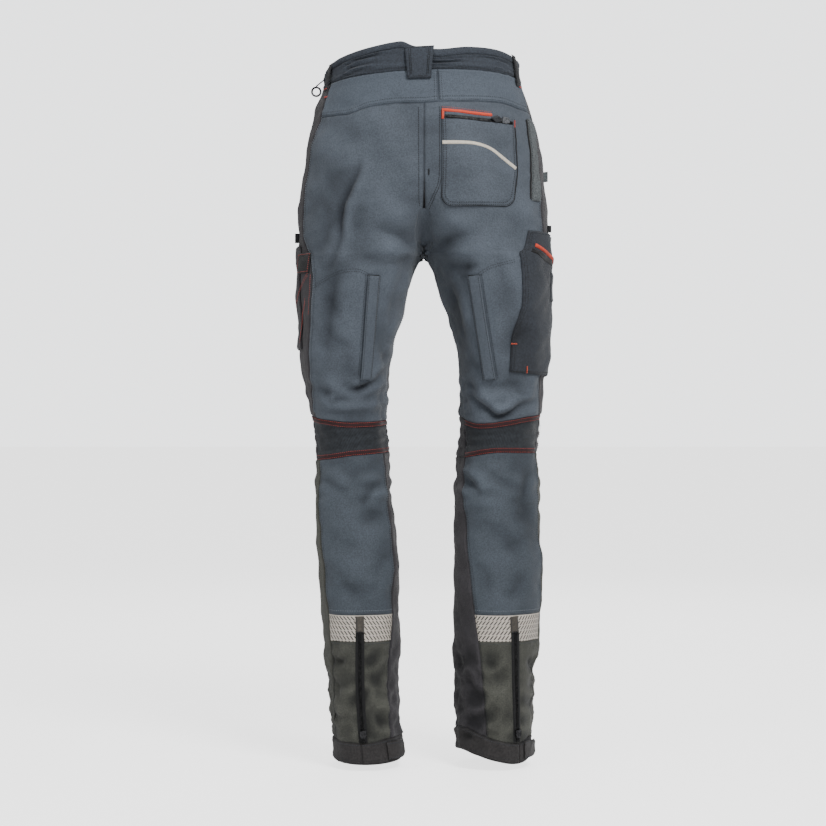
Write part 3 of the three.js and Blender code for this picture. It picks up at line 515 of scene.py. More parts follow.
def besides(side, z, turn, shift):
    # the path moved sideways on the surface, solved in its own height and turn
    dz, dt, n = slopes(side, z, turn)
    p = shell(side, z, turn)
    way = np.gradient(p, axis=0)
    way /= np.linalg.norm(way, axis=-1, keepdims=True) + 1e-12
    left = np.cross(n, way) * shift
    zz, tt, zt = (dz * dz).sum(-1), (dt * dt).sum(-1), (dz * dt).sum(-1)
    bz, bt = (left * dz).sum(-1), (left * dt).sum(-1)
    size = zz * tt - zt * zt
    return z + (bz * tt - bt * zt) / size, turn + (bt * zz - bz * zt) / size


def pathOn(side, z, turn, spacing, endFree=0.0):
    # the same path with points at an even spacing along it
    z, turn = np.broadcast_arrays(np.asarray(z, float), np.asarray(turn, float))
    fine = np.linspace(0, 1, 400)
    base = np.linspace(0, 1, len(z))
    z, turn = np.interp(fine, base, z), np.interp(fine, base, turn)
    run = runLengths(shell(side, z, turn), 0)
    places = np.linspace(endFree, run[-1] - endFree, max(3, int(round((run[-1] - 2 * endFree) / spacing)) + 1))
    return np.interp(places, run, z), np.interp(places, run, turn)


def strip(name, side, z, turn, width, material, low=0.0, high=1.0, spacing=2.5, count=7, cross=False, roundness=4):
    # a ribbon along a path: its top is low plus a rounded section across its width
    z, turn = pathOn(side, z, turn, spacing)
    share = np.linspace(-1, 1, count)
    places = [besides(side, z, turn, width / 2 * c) for c in share]
    zs, ts = np.stack([a for a, _ in places], 1), np.stack([b for _, b in places], 1)
    useSide, useTurn = acrossMiddle(side, ts) if cross else (side, ts)
    crown = (1 - abs(share) ** roundness)[None, :]
    end = np.minimum(np.arange(len(z)), np.arange(len(z))[::-1])[:, None]
    crown = crown * np.where(end == 0, .35, 1)
    outside, _ = cloth(useSide, zs, useTurn, low + (high - low) * (.15 + .85 * crown))
    inside, _ = cloth(useSide, zs, useTurn, low - .3)
    run = np.broadcast_to(np.arange(len(z))[:, None] * spacing, zs.shape)
    uv = np.stack([np.broadcast_to(share * width / 2, zs.shape), run], -1)
    return closedSheet(name, outside, inside, material, uv=uv)


# a short capsule: five rings of six, pointed ends
def capsule(rings=(.35, .85, 1, .85, .35), places=(-.94, -.6, 0, .6, .94), sides=6):
    a = np.arange(sides) / sides * 2 * pi
    body = np.stack([np.stack([np.full(sides, x), r * np.cos(a), r * np.sin(a)], -1)
                     for x, r in zip(places, rings)])
    points = np.concatenate([body.reshape(-1, 3), [[-1, 0, 0], [1, 0, 0]]])
    quads = gridFaces(len(places), sides, True)
    k = np.arange(sides)
    last = (len(places) - 1) * sides
    caps = np.concatenate([np.stack([np.full(sides, last + sides), (k + 1) % sides, k], -1),
                           np.stack([np.full(sides, last + sides + 1), last + k, last + (k + 1) % sides], -1)])
    tris = np.concatenate([quads[:, [0, 1, 2]], quads[:, [0, 2, 3]], caps])
    return points, tris


threadShape = capsule((.6, 1, .6), (-.7, 0, .7), 5)
toothShape = capsule((.8, 1, 1, .8), (-.9, -.45, .45, .9), 6)


def scatter(shape, centre, along, up, size):
    # copies of a small shape, each turned to its own direction
    points, tris = shape
    along = along / np.linalg.norm(along, axis=-1, keepdims=True)
    up = up - (up * along).sum(-1, keepdims=True) * along
    up = up / np.linalg.norm(up, axis=-1, keepdims=True)
    across = np.cross(up, along)
    size = np.broadcast_to(np.asarray(size, float), (len(centre), 3))
    placed = centre[:, None] + sum(points[None, :, k, None] * size[:, None, k, None] * axis[:, None]
                                   for k, axis in enumerate((along, across, up)))
    shift = (np.arange(len(centre)) * len(points))[:, None, None]
    return placed.reshape(-1, 3), (tris[None] + shift).reshape(-1, 3)


threads = {}  # (body, colour) -> lists of centres, directions, normals and sizes


def sew(side, z, turn, body, colour, shift=0.0, off=.35, pitch=3.4, length=2.3, thick=.42, cross=False):
    # rows of stitches along a path, one for each shift beside it
    pathZ, pathTurn = pathOn(side, z, turn, 3.0)
    for aside in np.atleast_1d(shift):
        z, turn = besides(side, pathZ, pathTurn, aside) if aside else (pathZ, pathTurn)
        z, turn = pathOn(side, z, turn, pitch, 1.2)
        useSide, useTurn = acrossMiddle(side, turn) if cross else (np.full(z.shape, side), turn)
        p, n = cloth(useSide, z, useTurn, off)
        keep(body, colour, p, np.gradient(p, axis=0), n, (length / 2, thick, thick * .75))


def keep(body, colour, centre, along, up, size):
    # stitches are gathered by body and colour, and made together near the end
    size = np.broadcast_to(np.asarray(size, float), (len(centre), 3))
    threads.setdefault((body, colour), []).append((centre, along, up, size))


def tack(side, z, turn, body, colour, across=2.6, off=.5, cross=False):
    # bartack: a dense bar of short threads laid across a path of two points
    z, turn = pathOn(side, z, turn, .75)
    useSide, useTurn = acrossMiddle(side, turn) if cross else (np.full(z.shape, side), turn)
    p, n = cloth(useSide, z, useTurn, off)
    way = np.gradient(p, axis=0)
    beside = np.cross(n, way) + way * np.where(np.arange(len(z)) % 2, .35, -.35)[:, None]
    keep(body, colour, p, beside, n, (across / 2, .42, .5))


def ride(obj, body, slot, *nodes):
    # body is a body's name, or "knee left"/"knee right" for cloth between thigh and shank, which is baked in place
    if body.startswith("knee"):
        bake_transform(obj)
    else:
        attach(obj, body)
    if nodes:
        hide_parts(*nodes)
    return obj


def cutCloth(obj, body, slot, *nodes, held="stretched"):
    # the piece is handed to ride: attached to its body or baked in place, and the parts it stands for hidden
    ride(obj, body, slot, *nodes)


# materials
def colour(r, g, b):
    # screen values 0 to 255 to linear light
    c = np.array([r, g, b]) / 255
    return tuple(np.where(c < .04045, c / 12.92, ((c + .055) / 1.055) ** 2.4)) + (1.0,)


def startGroup(name, inputs, outputs):
    # an empty node group with its sockets
    tree = bpy.data.node_groups.new(name, "ShaderNodeTree")
    for label, kind, value in inputs:
        socket = tree.interface.new_socket(label, in_out="INPUT", socket_type=kind)
        socket.default_value = value
    for label, kind in outputs:
        tree.interface.new_socket(label, in_out="OUTPUT", socket_type=kind)
    return tree, tree.nodes.new("NodeGroupInput"), tree.nodes.new("NodeGroupOutput")


def math(tree, operation, a, b=None, c=None, clamp=False):
    # one maths node, each input a socket or a plain number
    node = tree.nodes.new("ShaderNodeMath")
    node.operation = operation
    node.use_clamp = clamp
    for socket, value in zip(node.inputs, (a, b, c)):
        if value is None:
            continue
        if isinstance(value, bpy.types.NodeSocket):
            tree.links.new(value, socket)
        else:
            socket.default_value = value
    return node.outputs[0]


def noise(tree, vector, scale, detail=2.0, rough=.5):
    # one noise texture read at the given place
    node = tree.nodes.new("ShaderNodeTexNoise")
    tree.links.new(vector, node.inputs["Vector"])
    for label, value in (("Scale", scale), ("Detail", detail), ("Roughness", rough)):
        if isinstance(value, bpy.types.NodeSocket):
            tree.links.new(value, node.inputs[label])
        else:
            node.inputs[label].default_value = value
    return node.outputs["Fac"]


def blendColour(tree, factor, a, b, mode="MIX"):
    # two colours mixed by a factor
    node = tree.nodes.new("ShaderNodeMix")
    node.data_type = "RGBA"
    node.blend_type = mode
    for socket, value in ((node.inputs[0], factor), (node.inputs[6], a), (node.inputs[7], b)):
        if isinstance(value, bpy.types.NodeSocket):
            tree.links.new(value, socket)
        else:
            socket.default_value = value
    return node.outputs[2]


def makeWeaveGroup():
    # warp and weft as crossed sine ridges in the cut's own metres, with slubs and a broad uneven dye; painted shade and
    # highlight are read from the mesh's fold attribute
    tree, given, out = startGroup("wovenCloth", [
        ("Colour", "NodeSocketColor", (.1, .1, .1, 1)), ("Fleck", "NodeSocketColor", (.2, .2, .2, 1)),
        ("Threads", "NodeSocketFloat", 1300.0), ("Fleck Amount", "NodeSocketFloat", .5),
        ("Fleck Scale", "NodeSocketFloat", 420.0), ("Uneven", "NodeSocketFloat", .25),
        ("Roughness", "NodeSocketFloat", .8)],
        [("Colour", "NodeSocketColor"), ("Height", "NodeSocketFloat"), ("Roughness", "NodeSocketFloat")])
    place = tree.nodes.new("ShaderNodeTexCoord")
    split = tree.nodes.new("ShaderNodeSeparateXYZ")
    tree.links.new(place.outputs["UV"], split.inputs[0])
    pace = math(tree, "MULTIPLY", given.outputs["Threads"], 2 * pi)
    u = math(tree, "MULTIPLY", split.outputs[0], pace)
    v = math(tree, "MULTIPLY", split.outputs[1], pace)
    warp = math(tree, "SINE", math(tree, "ADD", u, math(tree, "MULTIPLY", v, .5)))
    weft = math(tree, "SINE", math(tree, "SUBTRACT", v, math(tree, "MULTIPLY", u, .5)))
    height = math(tree, "ADD", math(tree, "MULTIPLY", warp, .3), math(tree, "MULTIPLY", weft, .2))
    slub = noise(tree, place.outputs["Object"], given.outputs["Fleck Scale"], 2.0, .6)
    height = math(tree, "ADD", math(tree, "ADD", height, .5), math(tree, "MULTIPLY", slub, .8))
    fleck = math(tree, "MULTIPLY_ADD", math(tree, "SUBTRACT", slub, .5), 3.2, .5, clamp=True)
    fleck = math(tree, "MULTIPLY", fleck, given.outputs["Fleck Amount"])
    shade = blendColour(tree, fleck, given.outputs["Colour"], given.outputs["Fleck"])
    broad = noise(tree, place.outputs["Object"], 9.0, 3.0, .55)
    fine = noise(tree, place.outputs["Object"], 70.0, 2.0, .5)
    dye = math(tree, "ADD", math(tree, "MULTIPLY", broad, .7), math(tree, "MULTIPLY", fine, .3))
    dye = math(tree, "MULTIPLY_ADD", math(tree, "SUBTRACT", dye, .5), given.outputs["Uneven"], 1.0)
    grey = tree.nodes.new("ShaderNodeCombineColor")
    for socket in grey.inputs[:3]:
        tree.links.new(dye, socket)
    shade = blendColour(tree, 1.0, shade, grey.outputs[0], "MULTIPLY")
    # painted shade: the fold attribute darkens the colour towards a third in creases, along seam edges and in gathers
    folded = tree.nodes.new("ShaderNodeAttribute")
    folded.attribute_name = "paintedShadeAndHighlight"
    low = math(tree, "MULTIPLY", folded.outputs["Fac"], .95, clamp=True)
    shade = blendColour(tree, low, shade, blendColour(tree, 1.0, shade, (.3, .31, .33, 1), "MULTIPLY"))
    # painted highlight: where the attribute is below zero, on fold ridges, the colour is lightened
    paintedRidgeHighlight = math(tree, "MULTIPLY", folded.outputs["Fac"], -.6, clamp=True)
    shade = blendColour(tree, paintedRidgeHighlight, shade, blendColour(tree, 1.0, shade, (1.7, 1.7, 1.7, 1), "MULTIPLY"))
    tree.links.new(shade, out.inputs["Colour"])
    tree.links.new(height, out.inputs["Height"])
    rough = math(tree, "SUBTRACT", slub, .5)
    rough = math(tree, "MULTIPLY_ADD", rough, .25, given.outputs["Roughness"], clamp=True)
    tree.links.new(rough, out.inputs["Roughness"])
    return tree


def makeKnitGroup():
    # ribs running along the cut: one rounded rib per stitch column, with loops along it; the groove colour is painted
    # shade between the ribs, mixed with soft random tone
    tree, given, out = startGroup("ribKnit", [
        ("Colour", "NodeSocketColor", (.1, .1, .1, 1)), ("Groove", "NodeSocketColor", (.02, .02, .02, 1)),
        ("Ribs", "NodeSocketFloat", 500.0), ("Loops", "NodeSocketFloat", 700.0)],
        [("Colour", "NodeSocketColor"), ("Height", "NodeSocketFloat")])
    place = tree.nodes.new("ShaderNodeTexCoord")
    split = tree.nodes.new("ShaderNodeSeparateXYZ")
    tree.links.new(place.outputs["UV"], split.inputs[0])
    u = math(tree, "MULTIPLY", split.outputs[0], math(tree, "MULTIPLY", given.outputs["Ribs"], pi))
    v = math(tree, "MULTIPLY", split.outputs[1], math(tree, "MULTIPLY", given.outputs["Loops"], 2 * pi))
    rib = math(tree, "ABSOLUTE", math(tree, "SINE", u))
    loop = math(tree, "SINE", math(tree, "ADD", v, math(tree, "MULTIPLY", rib, 2.5)))
    height = math(tree, "ADD", rib, math(tree, "MULTIPLY", loop, .25))
    # painted shade: the groove colour fills the low ground between the ribs by rib height, and soft noise adds random
    # tone
    soft = noise(tree, place.outputs["Object"], 220.0, 2.0, .6)
    mix = math(tree, "SUBTRACT", soft, .5)
    mix = math(tree, "MULTIPLY_ADD", mix, 1.2, math(tree, "MULTIPLY", rib, .9), clamp=True)
    shade = blendColour(tree, mix, given.outputs["Groove"], given.outputs["Colour"])
    tree.links.new(shade, out.inputs["Colour"])
    tree.links.new(height, out.inputs["Height"])
    return tree


weaveGroup = makeWeaveGroup()
knitGroup = makeKnitGroup()


def startMaterial(name, roughness=.7, metallic=0.0, sheen=0.0, specular=.3):
    # a material with its shader's plain values set
    material = bpy.data.materials.new(name)
    material.use_nodes = True
    tree = material.node_tree
    shader = tree.nodes["Principled BSDF"]
    shader.inputs["Roughness"].default_value = roughness
    shader.inputs["Metallic"].default_value = metallic
    shader.inputs["Specular IOR Level"].default_value = specular
    shader.inputs["Sheen Weight"].default_value = sheen
    shader.inputs["Sheen Roughness"].default_value = .45
    shader.inputs["Sheen Tint"].default_value = (1, 1, 1, 1)
    return material, tree, shader


def bumpInto(tree, shader, height, strength, distance):
    # a height turned into the shader's normal
    bump = tree.nodes.new("ShaderNodeBump")
    bump.inputs["Strength"].default_value = strength
    bump.inputs["Distance"].default_value = distance
    tree.links.new(height, bump.inputs["Height"])
    tree.links.new(bump.outputs[0], shader.inputs["Normal"])


def wovenMaterial(name, base, fleck, threads=1300, fleckAmount=.5, fleckScale=420, uneven=.25, roughness=.8,
                  bump=.35, depth=.0004):
    material, tree, shader = startMaterial(name, sheen=.12)
    node = tree.nodes.new("ShaderNodeGroup")
    node.node_tree = weaveGroup
    for label, value in (("Colour", base), ("Fleck", fleck), ("Threads", threads), ("Fleck Amount", fleckAmount),
                         ("Fleck Scale", fleckScale), ("Uneven", uneven), ("Roughness", roughness)):
        node.inputs[label].default_value = value
    tree.links.new(node.outputs["Colour"], shader.inputs["Base Color"])
    tree.links.new(node.outputs["Roughness"], shader.inputs["Roughness"])
    bumpInto(tree, shader, node.outputs["Height"], bump, depth)
    return material


def knitMaterial(name, base, groove, ribs=500, loops=700, depth=.0006):
    # groove is the painted shade colour between the ribs
    material, tree, shader = startMaterial(name, roughness=.85, sheen=.15)
    node = tree.nodes.new("ShaderNodeGroup")
    node.node_tree = knitGroup
    for label, value in (("Colour", base), ("Groove", groove), ("Ribs", ribs), ("Loops", loops)):
        node.inputs[label].default_value = value
    tree.links.new(node.outputs["Colour"], shader.inputs["Base Color"])
    bumpInto(tree, shader, node.outputs["Height"], .5, depth)
    return material


def metalMaterial(name, base, roughness=.35):
    # dark plated metal, rubbed brighter and scratched in patches
    material, tree, shader = startMaterial(name, roughness, metallic=.9, specular=.5)
    place = tree.nodes.new("ShaderNodeTexCoord")
    rub = math(tree, "SUBTRACT", noise(tree, place.outputs["Object"], 260.0, 4.0, .7), .5)
    rub = math(tree, "MULTIPLY_ADD", rub, 2.4, .3, clamp=True)
    bright = tuple(min(1, 3 * c + .05) for c in base[:3]) + (1,)
    tree.links.new(blendColour(tree, rub, base, bright), shader.inputs["Base Color"])
    fine = noise(tree, place.outputs["Object"], 900.0, 3.0, .7)
    tree.links.new(math(tree, "MULTIPLY_ADD", fine, .3, roughness - .12, clamp=True), shader.inputs["Roughness"])
    bumpInto(tree, shader, fine, .2, .0001)
    return material


def threadMaterial(name, base, twist=.5):
    # twisted thread: slanted light and dark plies, the dark being painted shade in the low ground of the ply bump
    material, tree, shader = startMaterial(name, roughness=.6, sheen=.2)
    place = tree.nodes.new("ShaderNodeTexCoord")
    ply = noise(tree, place.outputs["Object"], 1500.0, 2.0, .6)
    dark = tuple(c * .45 for c in base[:3]) + (1,)
    tree.links.new(blendColour(tree, math(tree, "MULTIPLY", ply, 1.2, clamp=True), dark, base),
                   shader.inputs["Base Color"])
    bumpInto(tree, shader, ply, twist, .0003)
    return material


def reflectiveMaterial(name, bright, dash, pitch=7.5):
    # silver cells crossed by dark slanting dashes, in the cut's own metres
    material, tree, shader = startMaterial(name, roughness=.42, specular=.5)
    place = tree.nodes.new("ShaderNodeTexCoord")
    split = tree.nodes.new("ShaderNodeSeparateXYZ")
    tree.links.new(place.outputs["UV"], split.inputs[0])
    u = math(tree, "MULTIPLY", split.outputs[0], 1000 / pitch)
    v = math(tree, "MULTIPLY", split.outputs[1], 1000 / pitch)
    row = math(tree, "FLOOR", math(tree, "MULTIPLY", v, .78))
    slant = math(tree, "SUBTRACT", u, math(tree, "MULTIPLY", v, .8))
    slant = math(tree, "ADD", slant, math(tree, "MULTIPLY", row, .37))
    dashes = math(tree, "LESS_THAN", math(tree, "FRACT", math(tree, "ADD", slant, 100.0)), .38)
    gap = math(tree, "GREATER_THAN", math(tree, "FRACT", math(tree, "MULTIPLY", v, .78)), .2)
    mask = math(tree, "MULTIPLY", dashes, gap)
    rub = noise(tree, place.outputs["Object"], 160.0, 3.0, .6)
    silver = blendColour(tree, math(tree, "MULTIPLY", rub, .5), bright, tuple(c * .62 for c in bright[:3]) + (1,))
    tree.links.new(blendColour(tree, mask, silver, dash), shader.inputs["Base Color"])
    tree.links.new(math(tree, "MULTIPLY_ADD", mask, .3, .4), shader.inputs["Roughness"])
    beads = noise(tree, place.outputs["Object"], 1800.0, 2.0, .6)
    bumpInto(tree, shader, math(tree, "SUBTRACT", math(tree, "MULTIPLY", beads, .4), mask), .4, .0003)
    return material


def loopPileMaterial(name, base):
    # hook-and-loop pile: fine knots all over, their raised tops lightened as a painted highlight
    material, tree, shader = startMaterial(name, roughness=.9, sheen=.3)
    place = tree.nodes.new("ShaderNodeTexCoord")
    knots = tree.nodes.new("ShaderNodeTexVoronoi")
    knots.inputs["Scale"].default_value = 900.0
    tree.links.new(place.outputs["Object"], knots.inputs["Vector"])
    bright = tuple(min(1, c * 2.6 + .01) for c in base[:3]) + (1,)
    tree.links.new(blendColour(tree, math(tree, "MULTIPLY", knots.outputs[0], .9, clamp=True), bright, base),
                   shader.inputs["Base Color"])
    bumpInto(tree, shader, math(tree, "SUBTRACT", 1.0, knots.outputs[0]), .6, .0006)
    return material


slateCloth = wovenMaterial("slateSoftshell", colour(67, 73, 81), colour(93, 101, 111), 1250, .5, 520, .35)
calfCloth = wovenMaterial("calfSoftshell", colour(60, 66, 73), colour(84, 92, 101), 1250, .5, 520, .35)
yokeCloth = wovenMaterial("yokeSoftshell", colour(70, 77, 86), colour(95, 104, 115), 1250, .5, 520, .25)
charcoalCloth = wovenMaterial("charcoalSoftshell", colour(50, 48, 51), colour(77, 75, 78), 1250, .5, 480, .35)
bandCloth = wovenMaterial("waistbandCloth", colour(43, 47, 54), colour(68, 75, 85), 1000, .5, 420, .35)
heatherCloth = wovenMaterial("heatherCloth", colour(54, 55, 51), colour(100, 100, 92), 800, .55, 900, .9, .85, .6)
stripCloth = wovenMaterial("hipStripCloth", colour(62, 66, 68), colour(112, 118, 120), 620, .6, 420, .25, .85, .6)
garageCloth = wovenMaterial("garageCloth", colour(66, 62, 57), colour(98, 92, 85), 900, .5, 420, .25, .8, .5)
liningCloth = wovenMaterial("liningCloth", colour(38, 40, 44), colour(66, 69, 76), 900, .5, 300, .2, .85, .3)
cargoCloth = wovenMaterial("cargoCloth", colour(38, 41, 47), colour(60, 65, 73), 1000, .55, 380, .3, .75, .5)
padFelt = wovenMaterial("cutPadFelt", colour(196, 190, 172), colour(222, 218, 204), 300, .6, 120, .3, .95, .8)
kneeKnit = knitMaterial("stretchKnit", colour(48, 52, 57), colour(18, 19, 22), 420, 600)
cuffCloth = wovenMaterial("cuffCloth", colour(43, 41, 41), colour(70, 67, 67), 900, .5, 360, .3, .8, .5)
webbing = knitMaterial("blackWebbing", colour(42, 43, 46), colour(13, 13, 15), 620, 900, .0005)
maroonTape = knitMaterial("maroonTape", colour(58, 32, 34), colour(26, 16, 18), 700, 900, .0004)
zipTape = knitMaterial("zipTape", colour(34, 35, 36), colour(13, 13, 14), 900, 900, .0003)
reflectiveTape = reflectiveMaterial("reflectiveTape", colour(204, 195, 184), colour(36, 33, 31), 5.6)
creamTape = wovenMaterial("creamTape", colour(196, 188, 172), colour(222, 216, 204), 900, .5, 400, .15, .45, .3)
pipingCloth = wovenMaterial("redPiping", colour(206, 66, 44), colour(232, 104, 78), 1500, .4, 600, .15, .6, .3)
pileCloth = loopPileMaterial("loopPile", colour(24, 24, 26))
darkMetal = metalMaterial("darkMetal", colour(66, 67, 70), .3)
ringMetal = metalMaterial("ringMetal", colour(34, 34, 36), .3)
sliderMetal = metalMaterial("sliderMetal", colour(112, 114, 118), .28)
threadColours = {
    "dark": threadMaterial("darkThread", colour(36, 39, 43)),
    "tonal": threadMaterial("tonalThread", colour(60, 66, 74)),
    "pale": threadMaterial("paleThread", colour(128, 136, 146)),
    "red": threadMaterial("redThread", colour(188, 78, 70)),
    "orange": threadMaterial("orangeThread", colour(216, 84, 52)),
    "black": threadMaterial("blackThread", colour(18, 18, 20)),
    "zipTooth": metalMaterial("zipTooth", colour(24, 24, 25), .45),
}
print("materials", len(bpy.data.materials))


# seams that several pieces share
def loopProfile(points):
    # a profile over one whole turn that meets itself at the inseam
    return profile([(turn + shift, z) for shift in (-1, 0, 1) for turn, z in points])


kneeTopLine = {
    leftLeg: loopProfile([(0, -538), (.25, -540), (.5, -531), (.58, -533), (.76, -542)]),
    rightLeg: loopProfile([(0, -531), (.25, -540), (.5, -529), (.56, -530), (.83, -543)]),
}
kneeBottomLine = {
    leftLeg: loopProfile([(0, -584), (.25, -592), (.5, -596), (.61, -595), (.77, -588)]),
    rightLeg: loopProfile([(0, -592), (.25, -590), (.5, -586), (.75, -584), (.93, -592)]),
}
cuffLine = {  # the cuff's top edge; the right one climbs to the inseam
    leftLeg: loopProfile([(0, -1003), (.25, -1007), (.5, -1006), (.75, -1008), (.92, -1002)]),
    rightLeg: loopProfile([(0, -988), (.12, -994), (.25, -1003), (.5, -1003), (.62, -1001), (.755, -1009), (.85, -1003),
                           (.93, -994)]),
}
hemLine = {
    leftLeg: loopProfile([(0, -1036), (.25, -1039.6), (.5, -1037), (.75, -1039.6), (.92, -1037)]),
    rightLeg: loopProfile([(0, -1021), (.12, -1026), (.25, -1035), (.5, -1036), (.62, -1034), (.755, -1039.6),
                           (.85, -1034), (.93, -1026)]),
}
outSeam = {  # where the back cloth meets the dark side panel
    leftLeg: profile([(-600, .6), (-537, .6), (-435, .627), (-334, .629), (-266, .602), (-215, .621), (-141, .632),
                      (-94, .67), (-45, .66)]),
    rightLeg: profile([(-600, .565), (-537, .57), (-430, .59), (-267, .61), (-221, .628), (-100, .602), (-45, .6)]),
}
yokeLine = {
    leftLeg: profile([(.5, -96), (.68, -96), (.773, -96), (.849, -87), (.93, -83), (1, -83), (1.1, -83)]),
    rightLeg: profile([(.5, -88), (.68, -85), (.77, -80), (.96, -82), (1, -83)]),
}
yokeMiddle = .042  # the yokes' own seam, right of the centre back


def yokeUnder(side, turn):
    # the yoke seam's height, carried over the centre back onto the other side
    return np.where(turn > 1, yokeLine[-side](2 - turn), yokeLine[side](turn))


gusset = {"rise": 60, "drop": 48, "turn": .032}
flySide = 8.0


def gussetEdge(z):
    # the saddle's edge in turns from the inseam: the lesser of two square-root arcs, one up and one down
    up = z - crotch
    high = np.sqrt(np.clip((gusset["rise"] - up) / gusset["drop"], 0, 1))
    low = np.sqrt(np.clip((up + gusset["drop"]) / gusset["rise"], 0, 1))
    return gusset["turn"] * np.minimum(high, low)


gap = -.0003  # how far two cloths run under each other at a seam, in turns
turnLength = 480  # mm of cloth in one turn at the seat
print("trunk")
band = {"top": -20, "bottom": -46, "liningTop": -12, "fullness": 1.9, "roll": 5.4, "rollDepth": 3.4}
# how far the gathered top edge stands above or below its cut, round from the right side seam to the left
bandWave = profile([(.0, -3), (.3, -4), (.5, -5), (.61, -9), (.75, -7), (.85, -8), (.95, -12), (1.03, -6), (1.077, 3),
                    (1.16, 1), (1.3, -3), (1.46, -8), (1.7, -5), (2, -3)])


def bandGathers(base):
    # lengthwise gathers of the elastic: waves down the height that wander round the waist
    def height(s, r):
        drift = ripple(np.stack([s * 900, r * 12, s * 0], -1), 120, 31)
        back = smooth((s - .22) / .12) * smooth((.78 - s) / .12)
        wave = np.sin(2 * pi * (r * 3.1 + .35 * drift)) + .5 * np.sin(2 * pi * (r * 5.3 - .6 * drift + s * 7))
        return base + back * band["fullness"] * (.55 + .45 * drift) * wave * smooth(r / .12) * smooth((1 - r) / .12)
    return height


frontGap = float(turnAt(leftLeg, band["top"], flySide, False))
# tone=.3 here and tone=.12 on the roll paint shade into the valleys of the gathers
waistband = panel("waistband_cloth", rightLeg, moved(bandWave, band["top"]), band["bottom"], frontGap,
                  2 - frontGap, bandCloth, off=bandGathers(1.2), thick=2.2, step=2.4, cross=True, rise=.2, tone=.3)
cutCloth(waistband, "root", "waistband_cloth", "waistband", held="gathered")
lining = panel("waistbandLining", rightLeg, moved(bandWave, band["liningTop"]), band["bottom"] + 5, frontGap,
               2 - frontGap, liningCloth, off=lambda s, r: -2.6 + .5 * np.sin(s * 260) * smooth((.4 - r) / .3),
               thick=1.4, step=2.6, cross=True, rise=.1)
cutCloth(lining, "root", "lining_cloth", "waistband_lining", held="gathered")


def rollPuff(s, r):
    # half of the roll's thickness: an arch over its height, fuller and thinner along the waist
    gathers = 1 + .22 * ripple(np.stack([s * 900, 0 * s, 0 * s], -1), 34, 33) + .08 * np.sin(s * 330)
    return band["rollDepth"] * np.sqrt(np.clip(1 - (2 * r - 1) ** 2, .01, 1)) * gathers


rollFoot = band["top"] - 1.2
roll = panel("waistRoll", rightLeg, moved(bandWave, rollFoot + 2 * band["roll"]), moved(bandWave, rollFoot),
             frontGap, 2 - frontGap, bandCloth, off=lambda s, r: rollPuff(s, r) - .6,
             thick=lambda s, r: 2 * rollPuff(s, r), step=2.2, edges=(0, 0, 1, 1), cross=True, rise=0, tone=.12)
cutCloth(roll, "root", "lining_cloth", held="gathered")
line = np.linspace(frontGap + .01, 2 - frontGap - .01, 200)
top = band["top"] + bandWave(line)
for drop in (2.2, 23.2):
    row = top - drop * (top - band["bottom"]) / (band["top"] - band["bottom"])
    sew(rightLeg, row, line, "root", "dark", cross=True, off=1.7, pitch=3.2)
sew(rightLeg, np.full(200, band["bottom"] - 3.4), line, "root", "tonal", cross=True, off=.8)

# each loop: leg, middle turn, half widths in turns at top and bottom, and the heights of those two
loops = {
    "belt_loop_centre_back": (rightLeg, 1.014, .047, .035, -18, -56),
    "belt_loop_back_left": (leftLeg, .647, .0135, .0135, -16, -57),
    "belt_loop_back_right": (rightLeg, .647, .0135, .0135, -18, -56),
    "belt_loop_front_left": (leftLeg, .2, .0135, .0135, -11, -55),
    "belt_loop_front_right": (rightLeg, .2, .0135, .0135, -11, -55),
}
loopBulge = 3.6


def loopArch(share):
    # how far a loop stands off along its height: an arch from its top (0) to its foot (1)
    return loopBulge * np.sin(pi * np.clip(share, .001, .999)) ** .6


for name, (leg, turn, wideTop, wideBottom, top, bottom) in loops.items():
    half = profile([(bottom, wideBottom), (top, wideTop)])
    loop = panel(name + "_strap", leg, top, bottom, lambda z: turn - half(z), lambda z: turn + half(z),
                 bandCloth if "centre" in name else webbing, off=lambda s, r: 2.9 + loopArch(r), thick=1.5,
                 step=2, cross=True, rise=.1, dip=.5)
    ride(loop, "root", "waistband_cloth", name)
    for end in (top - 2.4, bottom + 2.6):
        inset = half(end) - .003
        tone = "red" if "left" in name and end < -40 else "black"
        tack(leg, [end, end], [turn - inset, turn + inset], "root", tone, across=2.6, off=4.0, cross=True)
    if "centre" in name:
        rows = np.linspace(top - 3, bottom + 4, 12)
        lift = 3.6 + loopArch((top - rows) / (top - bottom))
        for share in (-.74, -.62, .62, .74):
            for a, b, h in zip(rows[:-1], rows[1:], lift):
                turns = [turn + share * half(a), turn + share * half(b)]
                sew(leg, [a, b], turns, "root", "black", off=h, pitch=3, cross=True)

yokes = {
    "back_yoke_left": (leftLeg, moved(outSeam[leftLeg], gap), 1 + yokeMiddle - gap),
    "back_yoke_right": (rightLeg, moved(outSeam[rightLeg], gap), 1 - yokeMiddle - gap),
}
for name, (leg, start, end) in yokes.items():
    yoke = panel(name + "_cloth", leg, band["bottom"] + .4, lambda t: yokeUnder(leg, t) - .2, start, end,
                 yokeCloth, cross=True, rise=1.0, pucker=.35)
    cutCloth(yoke, "root", "yoke_softshell", name)
    run = np.linspace(float(start(-90)) + .004, end - .004, 60)
    for shift in (2.6, 6.2):
        sew(leg, yokeUnder(leg, run) + shift, run, "root", "dark", cross=True, off=1.2)
    rows = np.linspace(-48, float(yokeUnder(leg, end)) + 3, 8)
    for shift in (2.2, 5.4):
        sew(leg, rows, np.full(8, end - shift / turnLength), "root", "dark", cross=True, off=1.2)

